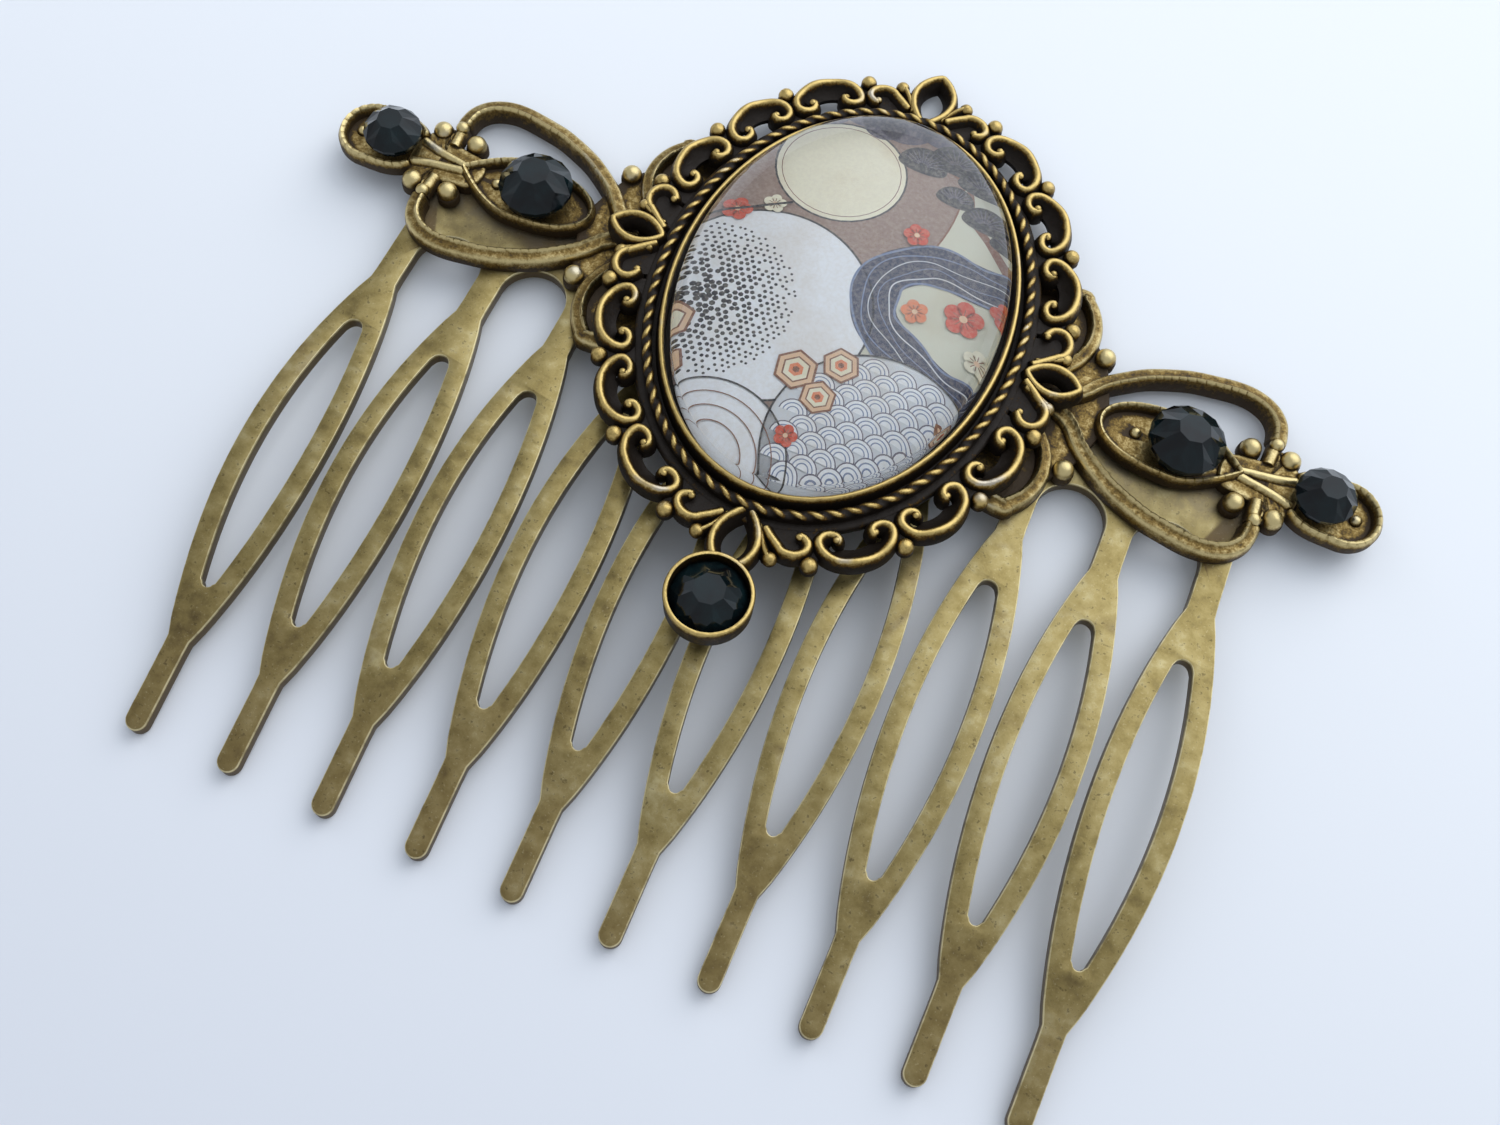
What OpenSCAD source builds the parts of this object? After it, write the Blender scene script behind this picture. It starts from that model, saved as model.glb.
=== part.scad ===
// Hair comb with a cameo setting: a stamped brass comb with ten looped teeth, a pair of
// filigree wings, and a cast oval frame that holds a glass dome over a printed card.
//
// The ornament is drawn with its origin at the middle of the oval: X runs along the spine,
// Y from the teeth to the top, Z out of the face, and Z = 0 is the front of the spine.
// The whole comb is then laid down on its tooth tips and the back of its spine, on Z = 0.

/* [Comb] */
// Number of teeth
tooth_count = 10; // [6:2:12]
// Distance from one tooth to the next
tooth_pitch = 5.46; // [5.3:0.02:6]
// Thickness of the sheet
comb_t = 0.8; // [0.75:0.05:1]
// Height of the spine's top edge
spine_top = 0.4; // [0:0.1:2]
// Height of the tops of the arches between the teeth
arch_top = -4.0; // [-5:0.1:-3]
// Height of the tooth tips
tip_y = -36.4; // [-40:0.2:-34]
// Width of a tooth's neck, above its loop
neck_w = 1.55; // [1.2:0.05:2]
// Width of a tooth's finger, below its loop
finger_w = 1.23; // [1:0.01:1.6]
// Greatest width of a tooth's loop
loop_w = 4.88; // [4.4:0.02:5]
// Height of the widest place of the loop
loop_y = -19.6; // [-21:0.1:-19]
// Radius of the loop's two sides
loop_r = 39.5; // [38:0.5:42]
// Greatest width of the slot in the loop
slot_w = 2.62; // [2:0.02:2.8]
// Height of the slot's upper end
slot_top = -11.4; // [-12.5:0.1:-11]
// Height of the slot's lower end
slot_bottom = -28.3; // [-29:0.1:-27]
// Height at which the teeth start to bend back
bend_y = -12; // [-14:0.5:-11]
// Radius of the bend, at the front
bend_r = 66; // [60:1:80]
// Angle of the tooth tips behind the spine
bend_angle = 12; // [8:0.5:14]
// How far the comb sits to the right of the ornament's middle
comb_x = -0.2; // [-0.5:0.05:0.5]

/* [Filigree wings] */
// Thickness of the stamped sheet
sheet_t = 0.5; // [0.4:0.05:0.6]
// Height of the rounded bands and rims over the sheet
rim_h = 0.66; // [0.56:0.02:0.66]
// Width of the bands that bound the loops
band_w = 1.05; // [0.9:0.05:1.1]
// Width of the marquise's and the tip loop's rims
rim_w = 0.5; // [0.4:0.02:0.6]
// Radius of the balls between the loops
ball_r = 0.6; // [0.5:0.02:0.65]

/* [Cameo setting] */
// Width of the glass dome
cab_w = 18; // [18:0.5:20]
// Length of the glass dome
cab_h = 25; // [25:0.5:27]
// How far the setting is turned on the wings, in degrees
setting_turn = 1.2; // [0:0.1:3]
// Height of the back of the pierced edge
lace_back = 1.3; // [1.25:0.05:1.35]
// Thickness of the pierced edge's plate
lace_t = 0.55; // [0.4:0.05:0.6]
// Height of the scrolls over that plate
scroll_h = 0.5; // [0.3:0.05:0.6]
// Width of a scroll's wire
wire_w = 0.56; // [0.4:0.02:0.6]
// Height of the bezel's rim
bezel_top = 2.9; // [2.7:0.05:3]
// Number of strands in the rope ring
rope_strands = 76; // [60:2:80]
// Height of the rope's crest
rope_top = 2.66; // [2.5:0.02:2.8]

/* [Glass, card and stones] */
// Height of the glass dome, from its flat back
cab_t = 5.3; // [4.5:0.1:6]
// Height of the dome's straight side
girdle_t = 1.3; // [1:0.1:1.5]
// Thickness of the printed card
card_t = 0.12; // [0.1:0.01:0.2]
// Diameter of the stone in the round cup
stone_bottom_d = 4.1; // [3.8:0.1:4.2]
// Diameter of the two stones on the wings
stone_wing_d = 4.3; // [4:0.1:4.6]
// Diameter of the two stones at the wing tips
stone_tip_d = 3.4; // [3:0.1:3.6]

/* [Hidden] */

comb_brass = [0.56, 0.48, 0.29];
wing_brass = [0.50, 0.40, 0.22];
cast_brass = [0.42, 0.33, 0.17];
jet = [0.03, 0.03, 0.05];
seat_gap = 0.06;

// Bent sheet: where its back ends at the tips
bend_back_r = bend_r - comb_t;
bend_back_y = bend_y - bend_back_r * sin(bend_angle);
tip_back_z = bend_back_r * cos(bend_angle) - bend_r - (bend_back_y - tip_y) * tan(bend_angle);

// Stack of the ornament, up from the spine
sheet_z = seat_gap;
rim_z = sheet_z + sheet_t;
rim_top = rim_z + rim_h;
back_z = rim_z + seat_gap;
lace_top = lace_back + lace_t;
plate_z = lace_back + 0.06;
card_z = 1.62;
glass_z = card_z + card_t + 0.02;

// Rings of the setting, as distances out from the edge of the glass
bezel_in = 0.3;
bezel_out = 0.72;
rope_in = 0.98;
rope_out = 1.56;
rope_d = (rope_in + rope_out) / 2;
rope_depth = 0.2;
lace_in = 2.0;
oval_steps = 48;

// The scroll edge is drawn as if the oval were straight: X along the edge of the glass,
// Y out from it. Its pieces are then laid round the oval from a given angle.
// Scrolls of one quarter: angle from the top, half width of the wire's middle line
SCROLL_ANGLE = 0;
SCROLL_HALF = 1;
scroll_rows = [[27.8, 1.45], [47.4, 1.5], [66.6, 1.56]];
scroll_spots = [for (turn = [-1, 1], start = [0, 180], row = scroll_rows)
    [start + turn * row[SCROLL_ANGLE], row[SCROLL_HALF]]];
scroll_mid = 2.66;
scroll_rise = 1.24;
volute_r = 0.45;
volute_end_r = 0.14;

// Balls between the scrolls
ball_spots = [for (turn = [-1, 1], start = [0, 180], a = [16.6, 37.5, 57, 76.2]) start + turn * a];
edge_ball_d = 3.88;
edge_ball_r = 0.48;

// Pointed loop, hook, leaf and bead of the oval's two ends and of its two sides
LOOP_AXES = 0;
LOOP_HALF = 1;
LOOP_MID = 2;
HOOK_FOOT = 3;
HOOK_MID = 4;
HOOK_R = 5;
LEAF = 6;
loop_rows = [
    [[0, 180], [1.8, 0.72], 3.2, [0.9, 1.95], [2.03, 2.82], 0.48, [[0.69, 1.87], [0.98, 2.9], [1.3, 3.75]]],
    [[90, 270], [1.42, 0.64], 3.5, [0.5, 1.93], [2.02, 3.13], 0.65, [[0.85, 2.1], [1.1, 3.0], [1.4, 3.8]]]
];
loop_wire_w = 0.6;
leaf_bead_r = 0.42;
top_y = cab_h / 2 + loop_rows[0][LOOP_MID] + loop_rows[0][LOOP_HALF].x + loop_wire_w / 2 + 0.06;

// Round cup of the lowest stone
cup_y = -cab_h / 2 - 6.8;
cup_r = stone_bottom_d / 2 + 0.32;
cup_bore_r = stone_bottom_d / 2 + 0.05;
cup_back = 0.95;
cup_floor = 1.42;
cup_top = 2.75;

// Wings: places on the right one, mirrored for the rest
marquise_x = [15.75, 23.9];
marquise_half = 1.95;
marquise_wide_x = 20.3;
ball_places = [[24.05, 1.85], [26.3, 1.95], [14.85, 3.9]];
loop_knob = [25.3, 2.55];
loop_knob_r = 0.42;
lobe_mid = [10.6, 4.7];
lobe_r = 3.2;
lobe_from = -38;
lobe_to = 56;
seat_ball_r = 0.36;
tip_mid_x = 29.9;
tip_half = 1.8;

// Stones, each with its own small offset on its seat
stone_z = rim_top + seat_gap;
wing_stones = [[-19.15, 0.05], [20.45, 0.1]];
tip_stones = [[-28.5, 0.05], [28.4, 0.1]];
seat_balls = [[-21.75, -0.05], [17.85, 0.1], [-30.68, 0], [30.58, 0]];

// Rest on the surface: on the tooth tips and the back edge of the spine
rest_tilt = atan2(-comb_t - tip_back_z, spine_top - tip_y);
rest_lift = spine_top * sin(rest_tilt) + comb_t * cos(rest_tilt);
rest_top_z = lace_top + scroll_h;
rest_y = ((top_y + tip_y) * cos(rest_tilt) + (rest_top_z + tip_back_z) * sin(rest_tilt)) / 2;

module at_rest() {
    translate([0, -rest_y, rest_lift]) rotate([-rest_tilt, 0, 0]) children();
}

// Comb

// Distance from the middle of a lens of the given width at which it is still w wide
function lens_reach(width, w) = sqrt(pow(loop_r, 2) - pow(loop_r - (width - w) / 2, 2));

// Half width of a lens at height y
function lens_half(width, y) = width / 2 - loop_r + sqrt(pow(loop_r, 2) - pow(y - loop_y, 2));

function arc(mid, r, from, to, steps) =
    [for (i = [0:steps]) let (a = from + (to - from) * i / steps) mid + r * [cos(a), sin(a)]];

function shifted(points, x) = [for (p = points) [p.x + x, p.y]];
function flipped(points) = [for (i = [len(points) - 1:-1:0]) [-points[i].x, points[i].y]];

// Right side of a tooth, from the top down
tooth_side = let (
    from = loop_y + lens_reach(loop_w, neck_w),
    to = loop_y - lens_reach(loop_w, finger_w),
    steps = 22
) [for (i = [0:steps]) let (y = from + (to - from) * i / steps) [lens_half(loop_w, y), y]];

tip_round = arc([0, tip_y + finger_w / 2], finger_w / 2, 0, -180, 10);
arch_r = (tooth_pitch - neck_w) / 2;
arch_round = arc([-tooth_pitch / 2, arch_top - arch_r], arch_r, 0, 180, 14);
slot_top_r = 0.5;
slot_bottom_r = 0.32;

// Slot: the two ends are round, the sides run parallel to the tooth's
slot_side = let (
    from = min(slot_top - slot_top_r, loop_y + lens_reach(slot_w, 2 * slot_top_r)),
    to = max(slot_bottom + slot_bottom_r, loop_y - lens_reach(slot_w, 2 * slot_bottom_r)),
    steps = 16
) [for (i = [0:steps]) let (y = from + (to - from) * i / steps) [lens_half(slot_w, y), y]];

slot_outline = concat(
    slot_side,
    arc([0, slot_bottom + slot_bottom_r], slot_bottom_r, -20, -160, 6),
    flipped(slot_side),
    arc([0, slot_top - slot_top_r], slot_top_r, 160, 20, 8)
);

// Outline of the teeth from right to left, with the arches between them
function tooth_row() = [
    for (i = [tooth_count - 1:-1:0])
        let (x = (i - (tooth_count - 1) / 2) * tooth_pitch)
        for (p = concat(
            shifted(tooth_side, x),
            shifted(tip_round, x),
            shifted(flipped(tooth_side), x),
            i > 0 ? shifted(arch_round, x) : []
        )) p
];

spine_half = (tooth_count - 1) / 2 * tooth_pitch + neck_w / 2;
spine_corner = 0.8;

module comb_outline() {
    polygon(concat(
        arc([spine_half - spine_corner, spine_top - spine_corner], spine_corner, 90, 0, 6),
        tooth_row(),
        arc([spine_corner - spine_half, spine_top - spine_corner], spine_corner, 180, 90, 6)
    ));
}

// Side view of the bent sheet: flat at the spine, an arc, then straight to the tips
module sheet_profile() {
    past = 1;
    end_y = tip_y - past;
    front_y = bend_y - bend_r * sin(bend_angle);
    front_z = bend_r * (cos(bend_angle) - 1) - (front_y - end_y) * tan(bend_angle);
    back_z_end = tip_back_z - past * tan(bend_angle);
    polygon(concat(
        [[spine_top + past, 0]],
        arc([bend_y, -bend_r], bend_r, 90, 90 + bend_angle, 12),
        [[end_y, front_z], [end_y, back_z_end]],
        arc([bend_y, -bend_r], bend_back_r, 90 + bend_angle, 90, 12),
        [[spine_top + past, -comb_t]]
    ));
}

module comb() {
    reach = 20;
    color(comb_brass) at_rest() translate([comb_x, 0, 0]) intersection() {
        translate([0, 0, -reach]) linear_extrude(reach + 1) difference() {
            comb_outline();
            for (i = [0:tooth_count - 1])
                translate([(i - (tooth_count - 1) / 2) * tooth_pitch, 0]) polygon(slot_outline);
        }
        rotate([90, 0, 90]) linear_extrude(2 * spine_half + 20, center = true) sheet_profile();
    }
}

// Wires and bands

// Unit normal to the left of a path at its point i
function path_normal(path, i, closed) =
    let (
        n = len(path),
        before = closed ? path[(i + n - 1) % n] : path[max(i - 1, 0)],
        after = closed ? path[(i + 1) % n] : path[min(i + 1, n - 1)],
        d = (after - before) / norm(after - before)
    ) [-d.y, d.x];

// Solid through a row of rings of points, its ends filled or joined to each other
module skin(rings, closed) {
    n = len(rings);
    m = len(rings[0]);
    walls = [
        for (i = [0:(closed ? n - 1 : n - 2)], k = [0:m - 1])
            let (a = i * m, b = ((i + 1) % n) * m, next = (k + 1) % m)
            for (face = [[a + k, b + next, a + next], [a + k, b + k, b + next]]) face
    ];
    ends = closed ? [] : [
        [for (k = [0:m - 1]) k],
        [for (k = [m - 1:-1:0]) (n - 1) * m + k]
    ];
    polyhedron([for (ring = rings) each ring], concat(walls, ends), convexity = 6);
}

// A section of [side, height] points swept along a flat path
module sweep(path, section, closed = false) {
    skin([
        for (i = [0:len(path) - 1]) let (side = path_normal(path, i, closed))
            [for (s = section) [path[i].x + side.x * s[0], path[i].y + side.y * s[0], s[1]]]
    ], closed);
}

// Section of a wire with a narrow crest, and of a rounded band, from height z up to top
function wire_section(w, z, top) = [[w / 2, z], [w * 0.24, top], [-w * 0.24, top], [-w / 2, z]];
function band_section(w, z, top) = [
    [w / 2, z], [w * 0.33, top - 0.22], [0, top], [-w * 0.33, top - 0.22], [-w / 2, z]
];

// Round bead on a foot that goes down to height z
module bead(place, r, z, top) {
    hull() {
        translate([place.x, place.y, top - r]) sphere(r, $fn = 10);
        translate([place.x, place.y, z]) cylinder(0.1, r * 0.85, r * 0.85, $fn = 10);
    }
}

module mirrored_twice() {
    for (a = [0, 1], b = [0, 1]) mirror([a, 0, 0]) mirror([0, b, 0]) children();
}

// Filigree wings

// Middle line of the band round the upper loop, from the root to the knob
loop_path = [
    [14.3, 1.0], [15.3, 2.2], [16.4, 3.1], [17.8, 3.95], [19.4, 4.6], [21.0, 4.98],
    [22.5, 5.16], [23.6, 5.08], [24.5, 4.66], [25.1, 3.95], [25.32, 3.15], loop_knob
];

// Half of the marquise's rim, from the round inner end to the outer point
function marquise_edge(x) =
    let (
        inner = (marquise_wide_x - x) / (marquise_wide_x - marquise_x[0]),
        outer = (x - marquise_wide_x) / (marquise_x[1] - marquise_wide_x)
    ) marquise_half * (x < marquise_wide_x ? sqrt(1 - pow(inner, 2.6)) : 1 - pow(outer, 1.7));

marquise_path = let (
    steps = 11,
    upper = [
        for (i = [0:steps])
            let (x = marquise_x[0] + (marquise_x[1] - marquise_x[0]) * (1 - cos(180 * i / steps)) / 2)
            [x, marquise_edge(x)]
    ]
) concat(upper, [for (i = [steps - 1:-1:1]) [upper[i].x, -upper[i].y]]);

// Rim of the tip loop: a round end and sides that close in towards the stem
tip_side = [[26.9, 1.05], [27.5, 1.5], [28.4, 1.76]];
tip_path = concat(
    tip_side,
    arc([tip_mid_x, 0], tip_half, 90, -90, 10),
    [for (i = [len(tip_side) - 1:-1:0]) [tip_side[i].x, -tip_side[i].y]]
);

lobe_path = concat(arc(lobe_mid, lobe_r, lobe_from, lobe_to, 7), [[11.2, 7.6]]);

// Ridge between two points of the sheet
module rod(from, to, r) {
    hull() {
        translate([from.x, from.y, rim_z]) sphere(r, $fn = 5);
        translate([to.x, to.y, rim_z]) sphere(r, $fn = 5);
    }
}

module wing_sheet() {
    root = [[7, 5.4], [11.2, 7.4], [12.6, 7], [13.6, 5.4], [15.1, 3.7], [15.6, 2.5], [16.1, 0.9]];
    polygon(concat(root, [for (i = [len(root) - 1:-1:0]) [root[i].x, -root[i].y]]));
    polygon(marquise_path);
    polygon(tip_path);
    polygon([[23, 0.95], [25.4, 1.5], [25.4, 2.3], [26.3, 2.2], [27.2, 0.95], [27.2, -0.95],
        [26.3, -2.2], [25.4, -2.3], [25.4, -1.5], [23, -0.95]]);
}

module filigree() {
    rim = wire_section(rim_w, sheet_z + 0.2, rim_top);
    color(wing_brass) at_rest() union() {
        translate([0, 0, sheet_z]) linear_extrude(sheet_t) {
            scale([9.5, 6]) circle(1, $fn = 24);
            wing_sheet();
            mirror([1, 0]) wing_sheet();
        }
        for (s = [0, 1]) mirror([s, 0, 0]) {
            sweep(marquise_path, rim, true);
            sweep(tip_path, rim);
        }
        mirrored_twice() {
            sweep(loop_path, band_section(band_w, sheet_z, rim_top));
            sweep(lobe_path, band_section(0.95, sheet_z, rim_top - 0.04));
            rod([23.7, 0.15], [27.0, 0.85], 0.3);
            rod([24.2, 1.2], [26.1, 1.6], 0.34);
            for (p = ball_places) bead(p, ball_r, sheet_z + 0.1, rim_top + 0.06);
            bead(loop_knob, loop_knob_r, sheet_z, rim_top - 0.1);
        }
        for (p = seat_balls) bead(p, seat_ball_r, sheet_z + 0.1, rim_z + seat_ball_r);
    }
}

// Cameo setting

function oval_normal(a) = let (v = [cab_h * sin(a), cab_w * cos(a)]) v / norm(v);
function oval_point(a, d) = [cab_w / 2 * sin(a), cab_h / 2 * cos(a)] + oval_normal(a) * d;
function oval(d) = [for (i = [0:oval_steps - 1]) oval_point(-360 * i / oval_steps, d)];

// Length along the rope against the angle, so that the strands are evenly spaced
rope_lengths = [
    for (a = 0, s = 0; a <= 360; s = s + norm(oval_point(a + 3, rope_d) - oval_point(a, rope_d)), a = a + 3)
        [s, a]
];
rope_length = rope_lengths[len(rope_lengths) - 1][0];
function rope_angle(i) = lookup(rope_length * (i / rope_strands - floor(i / rope_strands)), rope_lengths);

// Points [along, out] of the straightened edge, laid from angle a of the oval
function oval_speed(a) = norm([cab_w / 2 * cos(a), cab_h / 2 * sin(a)]) * PI / 180;
function laid(a, points) = [for (p = points) oval_point(a + p.x / oval_speed(a), p.y)];
function handed(side, points) = [for (p = points) [side * p.x, p.y]];

// One volute of a scroll, from its outer side down and in to its end
function volute(mid) = [
    for (i = [0:4]) let (t = i / 4, r = volute_r + (volute_end_r - volute_r) * t, a = 180 + 215 * t)
        mid + r * [cos(a), sin(a)]
];

function scroll_path(half) =
    let (left = volute([volute_r - half, scroll_mid]))
    concat(
        [for (i = [len(left) - 1:-1:1]) left[i]],
        [for (i = [0:7]) let (a = 180 - 180 * i / 7) [half * cos(a), scroll_mid + scroll_rise * sin(a)]],
        [for (i = [1:len(left) - 1]) [-left[i].x, left[i].y]]
    );

function hook_path(row) =
    concat([row[HOOK_FOOT]], arc(row[HOOK_MID], row[HOOK_R], 165, -75, 6));

// Pointed oval with its long axis outwards
function pointed_path(half, mid) =
    let (
        r = (pow(half.x, 2) + pow(half.y, 2)) / (2 * half.y),
        steps = 7,
        side = [
            for (i = [0:steps]) let (v = half.x * (2 * i / steps - 1))
                [sqrt(r * r - v * v) - r + half.y, v + mid]
        ]
    ) concat(side, [for (i = [steps - 1:-1:1]) [-side[i].x, side[i].y]]);

// Floor under the card, bezel, channel and plate of the edge, as one ring
module frame() {
    section = [
        [-0.7, plate_z], [-0.7, card_z - seat_gap], [bezel_in, card_z - seat_gap],
        [bezel_in + 0.06, bezel_top], [bezel_out - 0.1, bezel_top],
        [bezel_out, lace_top], [lace_in, lace_top], [lace_in, plate_z]
    ];
    sweep(oval(0), [for (p = section) [-p.x, p.y]], true);
}

// Webs between the scrolls, and the plates inside the hooks
module webs() {
    web = [[-0.5, 1.6], [-0.38, 3.2], [-0.26, 4.0], [0.26, 4.0], [0.38, 3.2], [0.5, 1.6]];
    translate([0, 0, plate_z + 0.02]) linear_extrude(lace_top - plate_z - 0.04) {
        for (a = ball_spots) polygon(laid(a, web));
        for (row = loop_rows, a = row[LOOP_AXES], side = [-1, 1]) {
            inside = [for (i = [1:6]) hook_path(row)[i]];
            base = [[row[HOOK_MID].x + 0.2, 1.7], [row[HOOK_FOOT].x + 0.2, 1.7]];
            polygon(laid(a, handed(side, concat(inside, base))));
        }
    }
}

// Twisted ring: crests and valleys by turns, each slanted across the ring
module rope() {
    lean = -0.8;
    half = (rope_out - rope_in) / 2;
    section = [[-1, 0], [0, 1], [1, 0]];
    skin([
        for (i = [0:2 * rope_strands - 1]) let (crest = i % 2 == 0)
            [
                for (s = section)
                    let (p = oval_point(-rope_angle((i + lean * s[0]) / 2), rope_d + s[0] * half))
                    [p.x, p.y, s[1] == 0 ? lace_top - 0.1 : rope_top - (crest ? 0 : rope_depth)]
            ]
    ], true);
}

module setting() {
    wire = wire_section(wire_w, lace_back + 0.02, lace_top + scroll_h);
    loop_wire = wire_section(loop_wire_w, lace_back, lace_top + scroll_h + 0.04);
    leaf = wire_section(wire_w, lace_back + 0.04, lace_top + scroll_h - 0.06);
    low = lace_back + 0.1;
    color(cast_brass) at_rest() rotate(setting_turn) difference() {
        union() {
            translate([0, 0, back_z]) linear_extrude(plate_z + 0.1 - back_z) polygon(oval(-0.6));
            frame();
            webs();
            rope();
            for (spot = scroll_spots)
                sweep(laid(spot[SCROLL_ANGLE], scroll_path(spot[SCROLL_HALF])), wire);
            for (a = ball_spots)
                bead(laid(a, [[0, edge_ball_d]])[0], edge_ball_r, low, lace_top + edge_ball_r);
            for (row = loop_rows, a = row[LOOP_AXES]) {
                sweep(laid(a, pointed_path(row[LOOP_HALF], row[LOOP_MID])), loop_wire, true);
                for (side = [-1, 1]) {
                    leaf_path = laid(a, handed(side, row[LEAF]));
                    sweep(laid(a, handed(side, hook_path(row))), wire);
                    sweep(leaf_path, leaf);
                    bead(leaf_path[2], leaf_bead_r, low, lace_top + leaf_bead_r);
                }
            }
            translate([0, cup_y, cup_back]) cylinder(cup_top - cup_back, cup_r, cup_r, $fn = 32);
        }
        translate([0, cup_y, cup_floor]) cylinder(cup_top, cup_bore_r, cup_bore_r, $fn = 32);
    }
}

// Print and glass

module print() {
    color([0.78, 0.74, 0.66]) at_rest() rotate(setting_turn) translate([0, 0, card_z])
        linear_extrude(card_t) polygon(oval(0));
}

// Rows of the dome: share of the oval's size against height
dome_rows = concat(
    [[0.985, 0]],
    [for (a = [0, 14, 30, 46, 62, 77]) [cos(a), girdle_t + (cab_t - girdle_t) * sin(a)]]
);

module cabochon() {
    n = oval_steps;
    rows = len(dome_rows);
    points = [
        for (row = dome_rows, k = [0:n - 1]) let (a = 360 * k / n)
            [cab_w / 2 * row[0] * cos(a), cab_h / 2 * row[0] * sin(a), row[1]]
    ];
    walls = [
        for (i = [0:rows - 2], k = [0:n - 1]) let (next = (k + 1) % n)
            [i * n + k, (i + 1) * n + k, (i + 1) * n + next, i * n + next]
    ];
    cap = [for (k = [0:n - 1]) [(rows - 1) * n + k, rows * n, (rows - 1) * n + (k + 1) % n]];
    color([0.86, 0.91, 0.95, 0.4]) at_rest() rotate(setting_turn) translate([0, 0, glass_z])
        polyhedron(concat(points, [[0, 0, cab_t]]), concat([[for (k = [0:n - 1]) k]], walls, cap));
}

// Stones

// Brilliant crown on a flat back: table, stars, kites and girdle facets
module stone(place, d, z) {
    r = d / 2;
    levels = [
        [16, r * 0.92, 0], [16, r, 0.22 * r], [16, r, 0.34 * r],
        [8, r * 0.8, 0.62 * r], [8, r * 0.5, 0.86 * r]
    ];
    start = [0, 16, 32, 48, 56];
    points = [
        for (level = levels, k = [0:level[0] - 1])
            let (a = 360 * (k + (level[1] == levels[3][1] ? 0.5 : 0)) / level[0])
            [level[1] * cos(a), level[1] * sin(a), level[2]]
    ];
    bands = [
        for (b = [0, 1], k = [0:15]) let (n = (k + 1) % 16)
            [start[b] + k, start[b + 1] + k, start[b + 1] + n, start[b] + n]
    ];
    girdle = [
        for (k = [0:7]) let (n = (k + 1) % 8, low = start[2] + 2 * k, high = start[3] + k)
            for (face = [
                [low, high, low + 1],
                [low + 1, high, start[2] + (2 * k + 2) % 16],
                [start[2] + 2 * n, high, start[4] + n],
                [start[2] + 2 * n, start[4] + n, start[3] + n],
                [high, start[4] + k, start[4] + n]
            ]) face
    ];
    table = [[for (k = [7:-1:0]) start[4] + k]];
    back = [[for (k = [0:15]) k]];
    translate([place.x, place.y, z]) polyhedron(points, concat(back, bands, girdle, table));
}

module stone_bottom() {
    color(jet) at_rest() rotate(setting_turn) stone([0, cup_y], stone_bottom_d, cup_floor + seat_gap);
}

module stone_wing_left() {
    color(jet) at_rest() stone(wing_stones[0], stone_wing_d, stone_z);
}

module stone_wing_right() {
    color(jet) at_rest() stone(wing_stones[1], stone_wing_d, stone_z);
}

module stone_tip_left() {
    color(jet) at_rest() stone(tip_stones[0], stone_tip_d, stone_z);
}

module stone_tip_right() {
    color(jet) at_rest() stone(tip_stones[1], stone_tip_d, stone_z);
}

comb();
filigree();
setting();
print();
cabochon();
stone_bottom();
stone_wing_left();
stone_wing_right();
stone_tip_left();
stone_tip_right();
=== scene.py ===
"""Looks of the kushi comb: detailed metal, glass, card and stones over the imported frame."""
import bpy
import bmesh
import math
import numpy as np
from mathutils import Matrix, Vector
from mathutils.bvhtree import BVHTree
from mathutils.geometry import tessellate_polygon


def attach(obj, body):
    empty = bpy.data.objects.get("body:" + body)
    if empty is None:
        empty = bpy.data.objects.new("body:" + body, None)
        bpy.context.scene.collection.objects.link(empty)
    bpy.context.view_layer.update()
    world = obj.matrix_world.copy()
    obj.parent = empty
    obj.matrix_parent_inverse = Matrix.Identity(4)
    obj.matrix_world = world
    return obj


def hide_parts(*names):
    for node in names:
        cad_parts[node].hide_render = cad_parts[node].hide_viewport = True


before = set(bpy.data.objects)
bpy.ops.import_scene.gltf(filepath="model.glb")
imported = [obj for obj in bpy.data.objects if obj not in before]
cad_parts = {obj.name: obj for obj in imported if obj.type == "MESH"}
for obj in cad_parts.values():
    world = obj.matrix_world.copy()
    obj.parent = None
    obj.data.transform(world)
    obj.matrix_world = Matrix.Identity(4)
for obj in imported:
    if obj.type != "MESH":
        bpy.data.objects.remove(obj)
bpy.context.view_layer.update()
rng = np.random.default_rng(7)

# Sizes, in millimetres, in the ornament's own frame: origin at the middle of the oval,
# X along the spine, Y from the teeth to the top, Z out of the face, Z = 0 the spine's front.

# Comb
TOOTH_COUNT = 10
PITCH = 5.46
COMB_T = 0.8
COMB_X = -0.2
EDGE_R = 0.09
SPINE_TOP = 0.4
CORNER_R = 0.8
ARCH_TOP = -4.0
TIP_Y = -36.4
NECK_W = 1.55
FINGER_W = 1.23
LOOP_W = 4.88
LOOP_Y = -19.6
LOOP_R = 39.5
SLOT_W = 2.62
SLOT_TOP = -11.4
SLOT_TOP_R = 0.5
SLOT_BOTTOM = -28.3
SLOT_BOTTOM_R = 0.32
BEND_Y = -12.0
BEND_R = 66.0
BEND = math.radians(12)
CUT_STEP = 0.9

# Filigree
SHEET_Z = 0.06
PLATE_TOP = 0.56
RIM_TOP = 1.22

# Setting
TOP_Y = 17.86
BACK_Z = 0.62
LACE_BACK = 1.3
LACE_TOP = 1.85
SCROLL_TOP = 2.35
WEB = (LACE_BACK + 0.08, LACE_TOP - 0.02)
BEZEL_TOP = 2.92
ROPE_STRANDS = 76
ROPE_OUT = 1.27
ROPE_Z = 2.34
ROPE_CORE = 0.165
ROPE_LOBE = 0.145
CUP_Y = -19.3
CUP_R = 2.37
CUP_BORE = 2.1
CUP_FLOOR = 1.42
CUP_TOP = 2.75
TURN = math.radians(1.2)

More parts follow.
